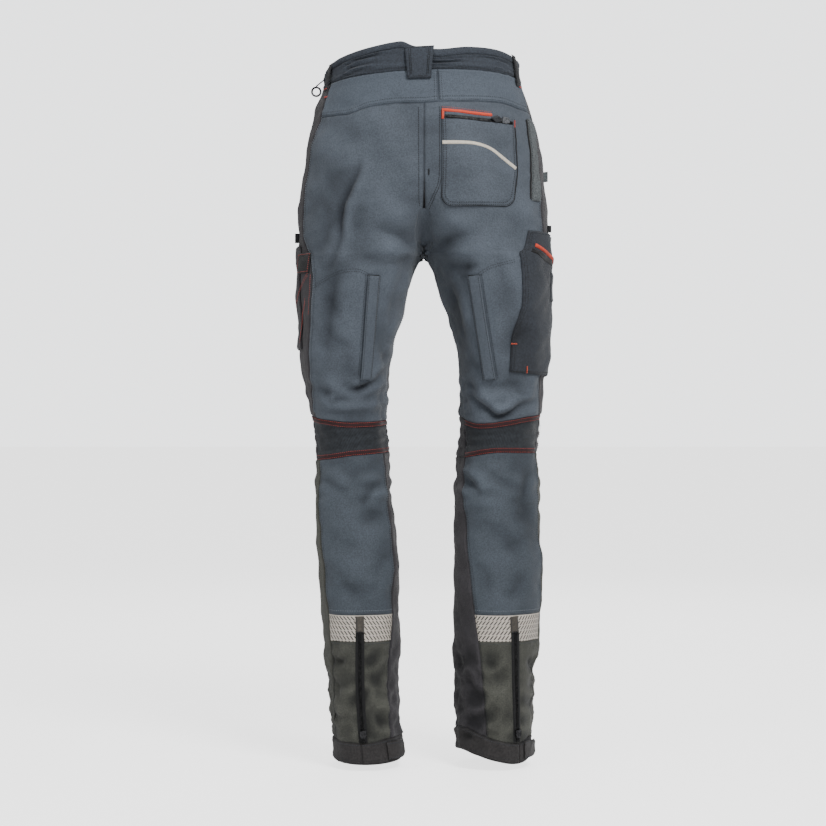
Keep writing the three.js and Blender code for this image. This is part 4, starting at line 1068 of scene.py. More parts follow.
print("seat, fronts and sides")
for leg in (leftLeg, rightLeg):
    tag = sideName[leg]
    kneeEdge = moved(kneeTopLine[leg], -.2)
    back = panel("back_panel_" + tag + "_cloth", leg, moved(yokeLine[leg], .2), kneeEdge, moved(outSeam[leg], gap),
                 lambda z: 1 - gussetEdge(z) - gap, slateCloth, step=2.5)
    cutCloth(back, "root", "slate_softshell", "back_panel_" + tag)
    side = panel("side_panel_" + tag + "_cloth", leg, band["bottom"] + .4, kneeEdge, trousers["frontSeam"] + gap,
                 moved(outSeam[leg], -gap), charcoalCloth)
    cutCloth(side, "root", "charcoal_softshell", "side_panel_" + tag)
    flyEdge = lambda z: np.where(z > -160, turnAt(leg, np.maximum(z, -170), flySide, False), gussetEdge(z) + gap)
    front = panel("front_panel_" + tag + "_cloth", leg, band["bottom"] + .4, kneeEdge, flyEdge,
                  trousers["frontSeam"] - gap, charcoalCloth)
    cutCloth(front, "root", "charcoal_softshell", "front_panel_" + tag)
    # double rows beside the out seam, the inseam and the front seam
    z = np.linspace(-92, -528, 60)
    for shift, tone in ((.005, "pale" if leg == leftLeg else "dark"), (.0125, "dark")):
        sew(leg, z, outSeam[leg](z) + shift, "root", tone, off=.7)
    for shift in (.006, .0135):
        sew(leg, z[:-1], np.full(59, trousers["frontSeam"] - shift), "root", "dark", off=.7)
    z = np.linspace(-352, -526, 40)
    for shift in (.009, .018):
        sew(leg, z, np.full(40, 1 - shift), "root", "pale", off=.7)
# the felled centre seams: one just left of the middle, one right of it that curves into the crotch
for leg, points in ((leftLeg, [(8, -88), (8, -150), (7, -215), (5, -232)]),
                    (rightLeg, [(22, -88), (22, -150), (21, -192), (13, -214), (4, -232)]),
                    (rightLeg, [(25, -88), (25, -150), (24, -193), (15, -217), (6, -236)])):
    x, z = curveThrough(points, 40).T
    sew(leg, z, turnAt(leg, z, x), "root", "black", off=.45, pitch=3.1, length=2.9, thick=.5)
# saddle between the legs
steps = np.array([0, .1, .2, .3, .4, .5, .6, .7, .8, .88, .94, 1])
steps = np.concatenate([-steps[:0:-1], steps])
u, v = np.meshgrid(steps, steps)
z = crotch + gusset["rise"] * v * v - gusset["drop"] * u * u
turn = gusset["turn"] * abs(u) * v
saddleSide = np.where(u < 0, leftLeg, rightLeg)
p = shell(saddleSide, z, np.where(v < 0, 1 + turn, turn))
normal = np.cross(np.gradient(p, axis=0), np.gradient(p, axis=1))
normal /= np.linalg.norm(normal, axis=-1, keepdims=True)
normal *= -np.sign(normal[len(steps) // 2, len(steps) // 2, 2])
saddleFold, saddlePaintedShade = foldField(p, normal, True)
uv = np.stack([u * 27, v * 110], -1)
saddle = closedSheet("crotchGussetCloth", p + normal * (saddleFold - .25)[..., None],
                     p + normal * (saddleFold - 1.9)[..., None], slateCloth, uv=uv)
# the saddle's painted shade in fold valleys and painted highlight on fold ridges, stored for the cloth colour
shaded = saddle.data.attributes.new("paintedShadeAndHighlight", "FLOAT", "POINT")
shaded.data.foreach_set("value", np.concatenate([saddlePaintedShade.ravel()] * 2))
ride(saddle, "root", "heather_cloth", "crotch_gusset")

print("front closing")
fly = {"top": -53, "bottom": -158, "left": -28, "width": 40}
tab = {"left": -26, "right": 34, "top": -13, "bottom": -43}


def middleSheet(name, xs, zs, low, thick, material, body, slot, node):
    # a flat cut across the centre front: turn found for each place across
    x, z = np.meshgrid(xs, zs)
    leg = np.where(x < 0, leftLeg, rightLeg)
    turn = np.where(abs(x) < .05, 0, turnAt(leg, z, abs(x), False))
    p, n = cloth(leg, z, turn, 0)
    lipGap = np.minimum(np.minimum(abs(x - xs[0]), abs(x - xs[-1])), np.minimum(abs(z - zs[0]), abs(z - zs[-1])))
    rise = low(x, z) + thick + seamLip(lipGap, .7, .25)
    obj = closedSheet(name, p + n * rise[..., None], p + n * low(x, z)[..., None], material,
                      uv=np.stack([x, z], -1))
    return ride(obj, body, slot, node)


tabWide, tabTall = tab["right"] - tab["left"], tab["top"] - tab["bottom"]
middleSheet("waistTabCloth", tab["left"] + tabWide * spread(tabWide, 2.2), tab["top"] - tabTall * spread(tabTall, 2.2),
            lambda x, z: 2.6 + 0 * x, 1.9, bandCloth, "waist_tab", "waistband_cloth", "waist_tab")
flyTall = fly["top"] - fly["bottom"] + 7
middleSheet("flyFlapCloth", fly["left"] + fly["width"] * spread(fly["width"], 2.2),
            fly["top"] + 5 - flyTall * spread(flyTall, 2.5), lambda x, z: 1.6 + 4.6 * smooth((x - fly["left"]) / 14),
            1.9, charcoalCloth, "fly_flap", "charcoal_softshell", "fly_flap")
for leg, x in ((leftLeg, 24), (rightLeg, 30)):
    z = np.linspace(tab["top"] - 3, tab["bottom"] + 3, 12)
    sew(leg, z, turnAt(leg, z, x, False), "waist_tab", "tonal", off=4.9)
for leg, x, height in ((rightLeg, 9, 8.3), (leftLeg, 22, 4.4)):
    z = np.linspace(-50, -155, 30)
    sew(leg, z, turnAt(leg, z, x, False), "fly_flap", "tonal", off=height)
coilPitch = 1.35


def zipTeeth(body, centre, way, up, half=1.5):
    # two rows of coil elements set half a pitch apart
    beside = np.cross(up, way)
    beside /= np.linalg.norm(beside, axis=-1, keepdims=True)
    way = way / np.linalg.norm(way, axis=-1, keepdims=True)
    for sign in (-1, 1):
        keep(body, "zipTooth", centre + beside * sign * half * .62 + way * (.34 if sign > 0 else 0), beside, up,
             (half, .5, .55))


def zipOn(name, side, z, turn, body, node, off, width=9.0, low=0.0):
    # woven tape with the coil along its middle
    tape = strip(name, side, z, turn, width, zipTape, low=low, high=off - .3, count=9, roundness=8)
    ride(tape, body, "zip_tape", node)
    z, turn = pathOn(side, z, turn, coilPitch, 1)
    p, n = cloth(side, z, turn, off)
    zipTeeth(body, p, np.gradient(p, axis=0), n)


top, bottom = shell(leftLeg, fly["top"], 0), shell(leftLeg, fly["bottom"], 0)
places = np.linspace(0, 1, 78)[:, None] * (bottom - top) + top + np.array([0, -.7, 0])
zipTeeth("root", places, np.tile(bottom - top, (78, 1)), np.tile([0., 1, 0], (78, 1)), 1.7)
xs = np.array([-7.2, -6.8, -5, -2.4, 0, 2.4, 5, 6.8, 7.2])
rows = np.linspace(0, 1, 44)[:, None, None] * (bottom - top) + top
face = rows + np.stack([xs, -1.3 - .3 * (abs(xs) > 7), 0 * xs], -1)[None]
flyTape = closedSheet("flyZipTape", face, face - [0, .8, 0], zipTape,
                      uv=np.stack(np.meshgrid(xs, np.linspace(0, 105, 44)), -1))
ride(flyTape, "root", "zip_tape", "fly_zip_chain")

print("vents")
for leg in (leftLeg, rightLeg):
    tag = sideName[leg]
    z = np.linspace(vent["top"], vent["bottom"], 30)
    x = np.interp(-z, [-vent["top"], -vent["bottom"]], vent["lean"][leg])
    turn = turnAt(leg, z, x)
    zipOn("ventZipTape_" + tag, leg, z[1:-1], turn[1:-1], "root", "vent_zip_" + tag, .9)
    flap = strip("ventFlapCloth_" + tag, leg, z, turn, vent["flap"], slateCloth, low=3.9, high=5.6, spacing=2.2,
                 count=15, roundness=9)
    ride(flap, tag + "_vent_flap", "slate_softshell", "vent_flap_" + tag)
    sew(leg, z, turn, tag + "_vent_flap", "black", (-6.9, 6.9), off=5.75, pitch=3.2)
    for end in (0, -1):
        tack(leg, [z[end]] * 2, [turn[end] - .016, turn[end] + .016], "root", "black", across=2.4, off=.6)
    sew(leg, z, turn, "root", "dark", (-11.5, 11.5), off=.35)

print("knees")


def kneeRibs(s, r):
    # three and a half soft ridges round the knee, fading at both seams
    return -.5 + .8 * np.sin(2 * pi * r * 3.5 + 3 * s) * smooth(r / .2) * smooth((1 - r) / .2)


for leg in (leftLeg, rightLeg):
    tag = sideName[leg]
    kneeStart = profile([(-596, .58), (-530, .53)])
    kneeEnd = .915 if leg == rightLeg else .985
    for name, start, end, fabric in (("knee_band_", moved(kneeStart, gap), kneeEnd - gap, kneeKnit),
                                     ("knee_front_", kneeEnd - 1 + gap, moved(kneeStart, -gap), charcoalCloth)):
        rib = panel(name + tag + "_knit", leg, moved(kneeTopLine[leg], .2), moved(kneeBottomLine[leg], -.2), start,
                    end, fabric, off=kneeRibs)
        cutCloth(rib, "knee " + tag, "stretch_knit", name + tag)
    for line, name, inward, start in ((kneeTopLine, "kneeTapeTop_", -3, .535),
                                      (kneeBottomLine, "kneeTapeBottom_", 3, .582)):
        turn = np.linspace(start, kneeEnd - .003, 60)
        row = line[leg](turn) + inward
        tape = strip(name + tag, leg, row, turn, 6.6, maroonTape, low=.1, high=1.1)
        ride(tape, "knee " + tag, "stretch_knit")
        for shift in (2.7, -2.7):
            sew(leg, row + shift, turn, "knee " + tag, "red", off=1.1, pitch=3.2, thick=.36)
    z = np.linspace(-545, -580, 10)
    for turnHere in (.508, .492) + ((.885, .892) if leg == rightLeg else ()):
        sew(leg, z, np.full(10, turnHere), "knee " + tag, "dark", off=.6)

print("lower legs")
calfSeam = {
    leftLeg: profile([(-1010, .60), (-856, .63), (-820, .622), (-611, .604), (-584, .6)]),
    rightLeg: profile([(-1010, .62), (-856, .628), (-822, .612), (-611, .569), (-584, .566)]),
}
shinSeam = profile([(-1010, .882), (-859, .893), (-820, .9), (-590, .91)])
upper, lower, whole = np.linspace(-602, -816, 40), np.linspace(-864, -1002, 30), np.linspace(-602, -1002, 60)
tabCut = {"length": 42, "half": 12.5, "height": -1020.5, "straight": .74, "share": 42 / 400}


def tabHalf(share):
    # half width of the hem tab along its length, rounded off at the free end
    beyond = np.clip((share - tabCut["straight"]) / (1 - tabCut["straight"]), 0, 1)
    return tabCut["half"] * np.sqrt(np.clip(1 - beyond ** 2, .02, 1))


for leg in (leftLeg, rightLeg):
    tag = sideName[leg]
    body = tag + "_shank"
    calfOut, shin = calfSeam[leg], shinSeam
    outward, inward = moved(calfOut, gap), moved(shin, -gap)
    under, cuffTop = moved(kneeBottomLine[leg], .2), moved(cuffLine[leg], -.3)
    calf = panel("calf_panel_" + tag + "_cloth", leg, under, -821.2, outward, inward, calfCloth, step=2.4)
    cutCloth(calf, body, "slate_softshell", "calf_panel_" + tag)
    shine = panel("reflective_band_" + tag + "_tape", leg, -820.8, -859.2, outward, inward, reflectiveTape, off=.3,
                  rise=0, pucker=.05, dip=.5)
    cutCloth(shine, body, "reflective_tape", "reflective_band_" + tag)
    gaiter = panel("gaiter_" + tag + "_cloth", leg, -858.8, cuffTop, outward, inward, heatherCloth, step=2.2,
                   pucker=.4)
    cutCloth(gaiter, body, "heather_cloth", "gaiter_" + tag)
    strap = panel("shank_strip_" + tag + "_cloth", leg, under, cuffTop, .5 + gap, moved(calfOut, -gap), heatherCloth)
    cutCloth(strap, body, "heather_cloth", "shank_strip_" + tag)
    shinCloth = panel("shin_panel_" + tag + "_cloth", leg, under, cuffTop, moved(shin, gap - 1), .5 - gap,
                      charcoalCloth, step=2.6)
    cutCloth(shinCloth, body, "charcoal_softshell", "shin_panel_" + tag)
    # rows along the calf hem, the side and the shin seams
    for drop in (3, 6.5):
        turn = np.linspace(float(calfOut(-818)) + .004, float(shin(-818)) - .004, 50)
        sew(leg, np.full(50, -820.6 + drop), turn, body, "pale" if drop > 4 else "tonal", off=.7)
    turn = np.linspace(float(calfOut(-862)) + .004, float(shin(-862)) - .004, 50)
    sew(leg, np.full(50, -862.4), turn, body, "tonal", off=.8)
    for rows, edge, shift in ((upper, calfOut, .005), (upper, calfOut, .0125), (whole, shin, -.006),
                              (upper, shin, -.0135), (lower, calfOut, .006)):
        sew(leg, rows, edge(rows) + shift, body, "dark", off=.75)
    sew(leg, whole, np.full(60, .492), body, "dark", off=.7)

    # ankle zip and its garage over the reflective band
    z = np.linspace(-843, -1007, 30)
    turn = np.full(30, ankle["turn"])
    zipOn("ankleZipTape_" + tag, leg, z, turn, body, "ankle_zip_" + tag, 2.0, width=12.5, low=.7)
    sew(leg, z, turn, body, "black", (-4.6, 4.6), off=1.75, pitch=3)
    above = [ankle["turn"] + .001] * 2
    garage = strip("zipGarage_" + tag, leg, [-822, -846], above, 12, garageCloth, low=.8, high=2.6, count=9,
                   roundness=6)
    ride(garage, body, "heather_cloth")
    sew(leg, [-824, -845], above, body, "tonal", (-4.6, 4.6), off=2.5)
    tack(leg, [-845, -845], [.743, .768], body, "black", across=1.8, off=2.6)

    # cuff with a facing seam under the zip, and its tab
    cuff = panel("hem_cuff_" + tag + "_cloth", leg, lambda t: cuffLine[leg](t % 1), lambda t: hemLine[leg](t % 1),
                 .744, 1.744, cuffCloth, off=.4, thick=2.4)
    cutCloth(cuff, body, "charcoal_softshell", "hem_cuff_" + tag)
    turn = np.linspace(.75, 1.738, 110)
    for height, tone in ((cuffLine[leg](turn % 1) - 3, "tonal"), (hemLine[leg](turn % 1) + 6.4, "dark"),
                         (hemLine[leg](turn % 1) + 3, "dark")):
        sew(leg, height, turn, body, tone, off=1.0)
    start, way = (.86, 1) if leg == leftLeg else (.72, -1)
    s, r = np.meshgrid(np.linspace(0, 1, 30), spread(2 * tabCut["half"], 2.2))
    z = tabCut["height"] + (1 - 2 * r) * tabHalf(s)
    lift = 1.6 + 4 * s ** 2
    p, n = cloth(leg, z, start + way * tabCut["share"] * s, 0)
    edge = np.minimum(tabCut["half"] * (1 - abs(1 - 2 * r)), tabCut["length"] * (1 - s))
    tabUv = np.stack([s * tabCut["length"], 2 * tabCut["half"] * r], -1)
    hemTab = closedSheet("hem_tab_" + tag + "_cloth", p + n * (lift + 2 + seamLip(edge, .7, .2))[..., None],
                         p + n * (lift + .5)[..., None], cuffCloth, uv=tabUv)
    ride(hemTab, tag + "_hem_tab", "charcoal_softshell", "hem_tab_" + tag)
    pile = closedSheet("hookPatch_" + tag, (p + n * (lift + .42)[..., None])[3:-3, 9:-3],
                       (p + n * (lift - .35)[..., None])[3:-3, 9:-3], pileCloth, uv=tabUv[3:-3, 9:-3])
    ride(pile, tag + "_hem_tab", "charcoal_softshell")
    edge = np.linspace(0, 1, 26)
    for sign in (-1, 1):
        z = tabCut["height"] + sign * (tabHalf(edge) - 2)
        turn = start + way * tabCut["share"] * edge * .95
        for a in range(0, 24, 2):
            sew(leg, z[a:a + 3], turn[a:a + 3], tag + "_hem_tab", "tonal", off=3.8 + 4 * edge[a + 1] ** 2, pitch=2.6)
    loopPad = strip("loopPad_" + tag, leg, [tabCut["height"]] * 2, [start + way * .02, start + way * .16], 24,
                    pileCloth, low=1.0, high=1.9, count=13)
    ride(loopPad, body, "charcoal_softshell")

print("cut pads")
for leg in (leftLeg, rightLeg):
    tag = sideName[leg]
    channels = lambda s, r: -5.4 + 1.3 * abs(np.sin(pi * s * 5)) + .5 * np.sin(2 * pi * r * 9)
    pad = panel("cut_pad_" + tag + "_layers", leg, -332, -993, .07, .37, padFelt, off=channels, thick=4.6, step=5,
                rise=0, dip=1.6)
    ride(pad, "knee " + tag, "cut_pad_felt", "cut_pad_" + tag)

print("pockets")
pocket = {"left": 24.5, "right": 130.5, "top": -90, "bottom": -230, "corner": 16, "slope": .1}


def onBack(side, x, z):
    # the height and turn of places given across and down the back
    return z, turnAt(side, z, abs(x))


pocketWide = pocket["right"] - pocket["left"]
s, r = np.meshgrid(spread(pocketWide, 2.2), spread(138, 2.2))
down = pocket["top"] - pocket["slope"] * pocketWide * s * (1 - r) + (pocket["bottom"] - pocket["top"]) * r
up = np.clip((down - pocket["bottom"]) / pocket["corner"], 0, 1)
pull = pocket["corner"] * (1 - np.sqrt(np.clip(1 - (1 - up) ** 2, 0, 1)))
middle = (pocket["left"] + pocket["right"]) / 2
x = middle + (2 * s - 1) * (pocketWide / 2 - pull)
z, turn = onBack(rightLeg, x, down)
crown = lambda s, r: 2.2 + np.sin(pi * s) ** .7 * np.sin(pi * r) ** .7
pocketCloth = panel("back_pocket_cloth", rightLeg, 0, 1, 0, 1, slateCloth, off=crown,
                    thick=1.9, grid=(s, r, z, turn), rise=.35, dip=1.1)
cutCloth(pocketCloth, "root", "slate_softshell", "back_pocket")


def pocketEdge(inset):
    # the pocket's outline pulled in by inset, from the top left corner down, round and up to the top right
    c = pocket["corner"]
    a = np.linspace(0, pi / 2, 10)
    left, right, bottom = pocket["left"] + inset, pocket["right"] - inset, pocket["bottom"] + inset
    c = c - inset * .4
    xs = np.concatenate([[left], left + c * (1 - np.cos(a)), right - c * (1 - np.cos(a))[::-1], [right]])
    zs = np.concatenate([[pocket["top"] - 3], bottom + c * (1 - np.sin(a)), bottom + c * (1 - np.sin(a))[::-1],
                         [pocket["top"] - 12]])
    return onBack(rightLeg, xs, zs)


for inset in (1.8, 5.2):
    sew(rightLeg, *pocketEdge(inset), "root", "black", off=3.3, pitch=3.2, thick=.5)
binding = strip("pocketBinding", rightLeg, *pocketEdge(.1), 1.3, zipTape, low=.2, high=1.5, count=7)
ride(binding, "root", "zip_tape")
run = np.linspace(0, 1, 20)
zipZ, zipTurn = onBack(rightLeg, 28 + 99 * run, -102.5 - 6 * run)
zipOn("pocketZipTape", rightLeg, zipZ, zipTurn, "root", "back_pocket_zip", 3.3, width=6, low=1.8)
pipe = {"left": 25, "right": 96, "top": -93.6, "drop": 5}
pipeX = pipe["left"] + (pipe["right"] - pipe["left"]) * run
pipeZ, pipeTurn = onBack(rightLeg, pipeX, pipe["top"] - pipe["drop"] * run)
piping = strip("redPipingPocket", rightLeg, pipeZ, pipeTurn, 4.6, pipingCloth, low=2.6, high=4.6, count=9,
               roundness=2.5)
ride(piping, "root", "yoke_softshell")
endZ, endTurn = onBack(rightLeg, np.array([26.5, 26.5]), np.array([-94, -106]))
endBar = strip("redPipingEnd", rightLeg, endZ, endTurn, 3.4, pipingCloth, low=2.6, high=4.0, roundness=2.5)
ride(endBar, "root", "yoke_softshell")
tackZ, tackTurn = onBack(rightLeg, np.array([129, 129]), np.array([-104, -114]))
tack(rightLeg, tackZ, tackTurn, "root", "red", across=3.4, off=3.9)
sew(rightLeg, pipeZ + 4.2, pipeTurn, "root", "red", off=3.0, pitch=3)
cream = curveThrough([(26, -140), (50, -140.5), (73, -142), (95, -148), (114, -162), (130, -175)], 40)
creamZ, creamTurn = onBack(rightLeg, cream[:, 0], cream[:, 1])
stripe = strip("creamStripe", rightLeg, creamZ, creamTurn, 5.4, creamTape, low=2.6, high=3.9, count=7, roundness=8)
ride(stripe, "root", "reflective_tape")

cargo = {"top": -263, "bottom": -471, "front": .43, "bulge": 3.2}
cargoEdge = profile([(-471, .728), (-429, .72), (-364, .678), (-309, .674), (-263, .684)])
cargoBottom = lambda t: cargo["bottom"] - 4 + 7 * (t - cargo["front"]) / .3


def cargoPuff(s, r):
    # the bag stands out in its middle: the product of an arch across and an arch down
    return 3.4 + cargo["bulge"] / 2 * np.sin(pi * np.clip(s, 0, 1)) ** .8 * np.sin(pi * np.clip(r, 0, 1)) ** .6


cargoBag = panel("cargo_pocket_cloth", rightLeg, cargo["top"], cargoBottom, cargo["front"], cargoEdge, cargoCloth,
                 off=cargoPuff, thick=1.8, step=2.3, dip=1.6, rise=.5)
cutCloth(cargoBag, "root", "charcoal_softshell", "cargo_pocket_right")
rows = np.linspace(cargo["top"] - 4, cargo["bottom"] + 3, 40)
for shift in (-.006, -.014):
    sew(rightLeg, rows, cargoEdge(rows) + shift, "root", "black", off=4.5, thick=.5)
turns = np.linspace(cargo["front"] + .006, .715, 50)
sew(rightLeg, np.full(50, cargo["bottom"] + 4.5), turns, "root", "black", off=4.4, thick=.5)
sew(rightLeg, np.full(50, cargo["top"] - 3), np.linspace(.44, .675, 50), "root", "black", off=4.4, thick=.5)
cargoPipe = strip("redPipingCargo", rightLeg, np.linspace(-284, -312, 16), np.linspace(.648, .46, 16), 5.4,
                  pipingCloth, low=4.2, high=6.8, count=9, roundness=2.5)
ride(cargoPipe, "root", "charcoal_softshell")
cargoZip = strip("cargoZipTape", rightLeg, np.linspace(-292, -320, 16), np.linspace(.65, .46, 16), 8, zipTape,
                 low=3.8, high=5.2, count=9, roundness=8)
ride(cargoZip, "root", "zip_tape")
tack(rightLeg, [-427, -427], [.700, .719], "root", "orange", across=2.8, off=4.6)
tack(rightLeg, [-459, -468], [.664, .664], "root", "orange", across=2.8, off=4.8)
cargoFlap = panel("cargoFlap", rightLeg, -320, -362, .47, .55, cargoCloth, off=6.4, thick=1.6, dip=.7, rise=.2)
cutCloth(cargoFlap, "root", "charcoal_softshell")

side = {"top": -282, "bottom": -434}
thighBag = panel("thigh_pocket_cloth", leftLeg, side["top"], side["bottom"], .43, .58, charcoalCloth, off=3.0,
                 thick=1.6, dip=1.2, rise=.4)
cutCloth(thighBag, "root", "charcoal_softshell", "thigh_pocket_left")
label = panel("sideLabel", leftLeg, -294, -324, .565, .622, zipTape, off=3.4, thick=1.1, dip=.5, rise=.1)
cutCloth(label, "root", "charcoal_softshell")
# red rows of the label and the pocket: two heights, two turns, height off the surface
labelRows = [
    (-296, -322, .568, .568, 3.8), (-296, -322, .619, .619, 3.8), (-296.5, -296.5, .57, .617, 3.8),
    (-321.5, -321.5, .57, .617, 3.8), (-324, -372, .62, .545, 3.5), (-328, -376, .62, .545, 3.5),
    (-360, -420, .612, .575, 3.5), (-364, -424, .612, .575, 3.5), (-326, -384, .624, .622, .9),
]
for top, bottom, start, end, height in labelRows:
    sew(leftLeg, np.linspace(top, bottom, 6), np.linspace(start, end, 6), "root", "red", off=height, pitch=3)

print("small trims")
hipLine = lambda foot, head: profile([(-219, foot), (-97, head)])
strap = panel("hipStrip", rightLeg, -97, -219, hipLine(.636, .598), hipLine(.686, .654), stripCloth, off=2.0,
              thick=1.4, dip=.8, rise=.1)
cutCloth(strap, "root", "heather_cloth")
rows = np.linspace(-99, -217, 30)
for edge in (hipLine(.640, .602), hipLine(.682, .650)):
    sew(rightLeg, rows, edge(rows), "root", "black", off=2.4)
edgeTape = strip("hipStripEdge", rightLeg, rows, hipLine(.689, .657)(rows), 3.2, zipTape, low=.4, high=1.9)
ride(edgeTape, "root", "zip_tape")


def sideTab(name, leg, z, turn, height, reach, material):
    # a folded tape that stands out of the side seam
    base, n = cloth(np.array([leg]), np.array([float(z)]), np.array([turn]), 0)
    out, up = n[0], np.array([0, 0, 1.0])
    along = np.cross(up, out)
    t = np.linspace(0, 1, 24)
    loop = np.stack([reach * np.sin(pi * t) ** .6, 1.7 * np.cos(pi * t)], -1)
    section = base[0] + loop[:, :1] * out + loop[:, 1:] * along
    inner = base[0] + (loop[:, :1] - 1.1 * np.sin(pi * t)[:, None] ** .5) * out + loop[:, 1:] * .45 * along
    rows = np.array([0, .5, 2, height / 2, height - 2, height - .5, height])[:, None, None] * -up
    face = section[None] + rows
    tabObj = closedSheet(name, face, inner[None] + rows, material,
                         uv=np.stack(np.broadcast_arrays(t[None] * 2 * reach, -rows[..., 2]), -1))
    return ride(tabObj, "root", "charcoal_softshell")


sideTab("sideTapeRight", rightLeg, -170, .515, 15, 6.5, stripCloth)
sideTab("sideLoopRight", rightLeg, -250, .53, 10, 6, webbing)
sideTab("sideLoopLeft", leftLeg, -262, .535, 14, 6.5, webbing)
tack(leftLeg, [-66, -66], [.655, .672], "root", "red", across=3, off=1.4)
tack(rightLeg, [-56, -56], [.612, .636], "root", "red", across=3, off=1.4)
tack(rightLeg, [-178, -186], [.988, .988], "root", "black", across=3, off=.9)
for leg in (leftLeg, rightLeg):  # hip pockets on the front, a curved mouth with red piping
    mouth = curveThrough([(-58, .2), (-92, .245), (-132, .305), (-176, .385)], 30)
    facing = strip("hipPocketFacing_" + sideName[leg], leg, mouth[:, 0], mouth[:, 1], 9, zipTape, low=.3, high=1.2,
                   count=9)
    ride(facing, "root", "zip_tape")
    mouthPipe = strip("hipPocketPiping_" + sideName[leg], leg, mouth[:, 0] + 3, mouth[:, 1] + .006, 3.6, pipingCloth,
                      low=.9, high=2.6, count=9, roundness=2.5)
    ride(mouthPipe, "root", "charcoal_softshell")
    for shift in (-7, -10.5):
        sew(leg, mouth[:, 0], mouth[:, 1], "root", "dark", shift * leg, off=.6)
    # articulated knee: two darts and a stitched patch line on each front
    for height in (-470, -500):
        dart = np.linspace(.06, .34, 40)
        sew(leg, height - 10 * np.sin(pi * (dart - .06) / .28), dart, "root", "tonal", off=.5)
    for height in (-640, -668):
        dart = np.linspace(.04, .36, 40)
        sew(leg, height + 10 * np.sin(pi * (dart - .04) / .32), dart, sideName[leg] + "_shank", "tonal", off=.5)
    sew(leg, np.full(50, -988.), np.linspace(.0, .49, 50), sideName[leg] + "_shank", "tonal", off=.6)
# short diagonal seam from the head of each vent to the side
for leg, points in ((leftLeg, [(-331, .80), (-322, .76), (-326, .70), (-344, .636)]),
                    (rightLeg, [(-330, .80), (-318, .76), (-312, .72), (-308, .69)])):
    seam = curveThrough(points, 24)
    sew(leg, seam[:, 0], seam[:, 1], "root", "dark", (-1.6, 1.6), off=.4)

# the ring's tape lies on the band and bends down to the ring
low, high = (np.array(corner) * 1000 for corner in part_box("key_ring_tape"))
t = np.linspace(0, 1, 24)
heights = np.interp(t, [0, .4, 1], [high[2] + 7, high[2] - .6, low[2]])
along, upright = np.meshgrid(np.linspace(low[1], high[1], 7), heights)
hang = np.interp(t, [0, .34, .46, 1], [high[0] - .1, high[0] - .6, high[0] - 1.6, low[0]])[:, None]
bow = .2 * np.sin(pi * (along - low[1]) / (high[1] - low[1]))
outer = np.stack([hang - bow, along, upright], -1)
tapeCloth = closedSheet("keyRingTapeCloth", outer, outer + [1.1, 0, 0], webbing, uv=np.stack([along, upright], -1))
ride(tapeCloth, "root", "waistband_cloth", "key_ring_tape")

print("threads")
threadSlots = {"zipTooth": "zip_tape", "dark": "charcoal_softshell", "tonal": "slate_softshell",
               "pale": "slate_softshell", "red": "stretch_knit", "orange": "stretch_knit", "black": "zip_tape"}
for (body, tone), rows in sorted(threads.items()):
    centre, along, up, size = (np.concatenate([row[k] for row in rows]) for k in range(4))
    shape = toothShape if tone == "zipTooth" else threadShape
    points, tris = scatter(shape, centre, along, up, size)
    name = tone + "Threads_" + body.replace(" ", "_")
    ride(putMesh(name, points, [tris], threadColours[tone]), body, threadSlots[tone])

print("metal parts and threads in place")
carried = ["fly_zip_slider", "fly_zip_puller", "waist_snap", "back_pocket_slider", "back_pocket_puller",
           "key_ring_left"]
carried += [kind + "_slider_" + tag for kind in ("vent", "ankle") for tag in ("left", "right")]
fittings = {"key_ring_left": ringMetal, "back_pocket_slider": sliderMetal, "ankle_slider_left": ringMetal,
            "ankle_slider_right": ringMetal}
for name in carried:
    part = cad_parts[name]
    part.data.materials.clear()
    part.data.materials.append(fittings.get(name, darkMetal))

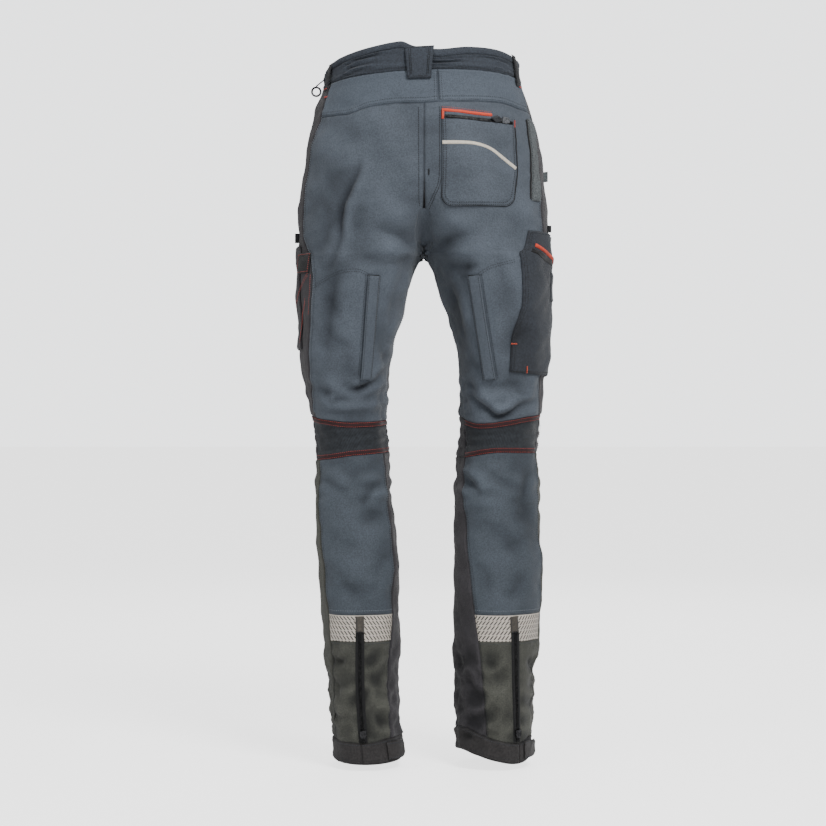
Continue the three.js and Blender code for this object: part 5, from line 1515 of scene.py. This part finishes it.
print("floor, light and camera")
studio = {"floor": -1.049, "eye": (-.016, -3.2, -.527), "field": 21.8, "key": 95, "fill": 22, "back": 30,
          "sky": .42, "seen": 2.6}
floorMaterial, floorTree, floorShader = startMaterial("paleFloor", roughness=.9)
place = floorTree.nodes.new("ShaderNodeTexCoord")
grain = noise(floorTree, place.outputs["Object"], 3.0, 2.0, .5)
pale = blendColour(floorTree, grain, (.80, .80, .80, 1), (.84, .84, .84, 1))
floorTree.links.new(pale, floorShader.inputs["Base Color"])
seen = floorTree.nodes.new("ShaderNodeLightPath").outputs["Is Camera Ray"]
floorShader.inputs["Emission Color"].default_value = (1, 1, 1, 1)
floorTree.links.new(math(floorTree, "MULTIPLY", seen, 2.0), floorShader.inputs["Emission Strength"])
reach = np.array([[-30, -30], [30, -30], [30, 30], [-30, 30]])
mesh = bpy.data.meshes.new("floor")
mesh.from_pydata([(x, y, studio["floor"]) for x, y in reach], [], [(0, 1, 2, 3)])
mesh.materials.append(floorMaterial)
floor = bpy.data.objects.new("floor", mesh)
bpy.context.scene.collection.objects.link(floor)


def softLight(name, place, aim, size, power):
    # a round lamp turned so that it looks at its aim
    lamp = bpy.data.lights.new(name, "AREA")
    lamp.shape, lamp.size, lamp.energy = "DISK", size, power
    obj = bpy.data.objects.new(name, lamp)
    way = np.array(aim) - np.array(place)
    obj.location = place
    obj.rotation_euler = (np.arctan2(np.hypot(way[0], way[1]), -way[2]), 0, np.arctan2(way[1], way[0]) - pi / 2)
    bpy.context.scene.collection.objects.link(obj)


softLight("keyLight", (1.1, -2.1, 1.7), (0, 0, -.45), 1.1, studio["key"])
softLight("fillLight", (-2.2, -2.2, .3), (0, 0, -.5), 2.0, studio["fill"])
softLight("backLight", (.4, 2.6, 1.2), (0, 0, -.4), 2.0, studio["back"])
world = bpy.data.worlds.new("studioAir")
world.use_nodes = True
air = world.node_tree.nodes["Background"]
air.inputs["Color"].default_value = (.96, .97, .98, 1)
seen = world.node_tree.nodes.new("ShaderNodeLightPath").outputs["Is Camera Ray"]
world.node_tree.links.new(math(world.node_tree, "MULTIPLY_ADD", seen, studio["seen"] - studio["sky"], studio["sky"]),
                          air.inputs["Strength"])
bpy.context.scene.world = world
eye = bpy.data.cameras.new("camera")
eye.sensor_width = 36
eye.lens = 18 / np.tan(np.radians(studio["field"] / 2))
camera = bpy.data.objects.new("camera", eye)
camera.location = studio["eye"]
camera.rotation_euler = (pi / 2, 0, 0)
bpy.context.scene.collection.objects.link(camera)
bpy.context.scene.camera = camera
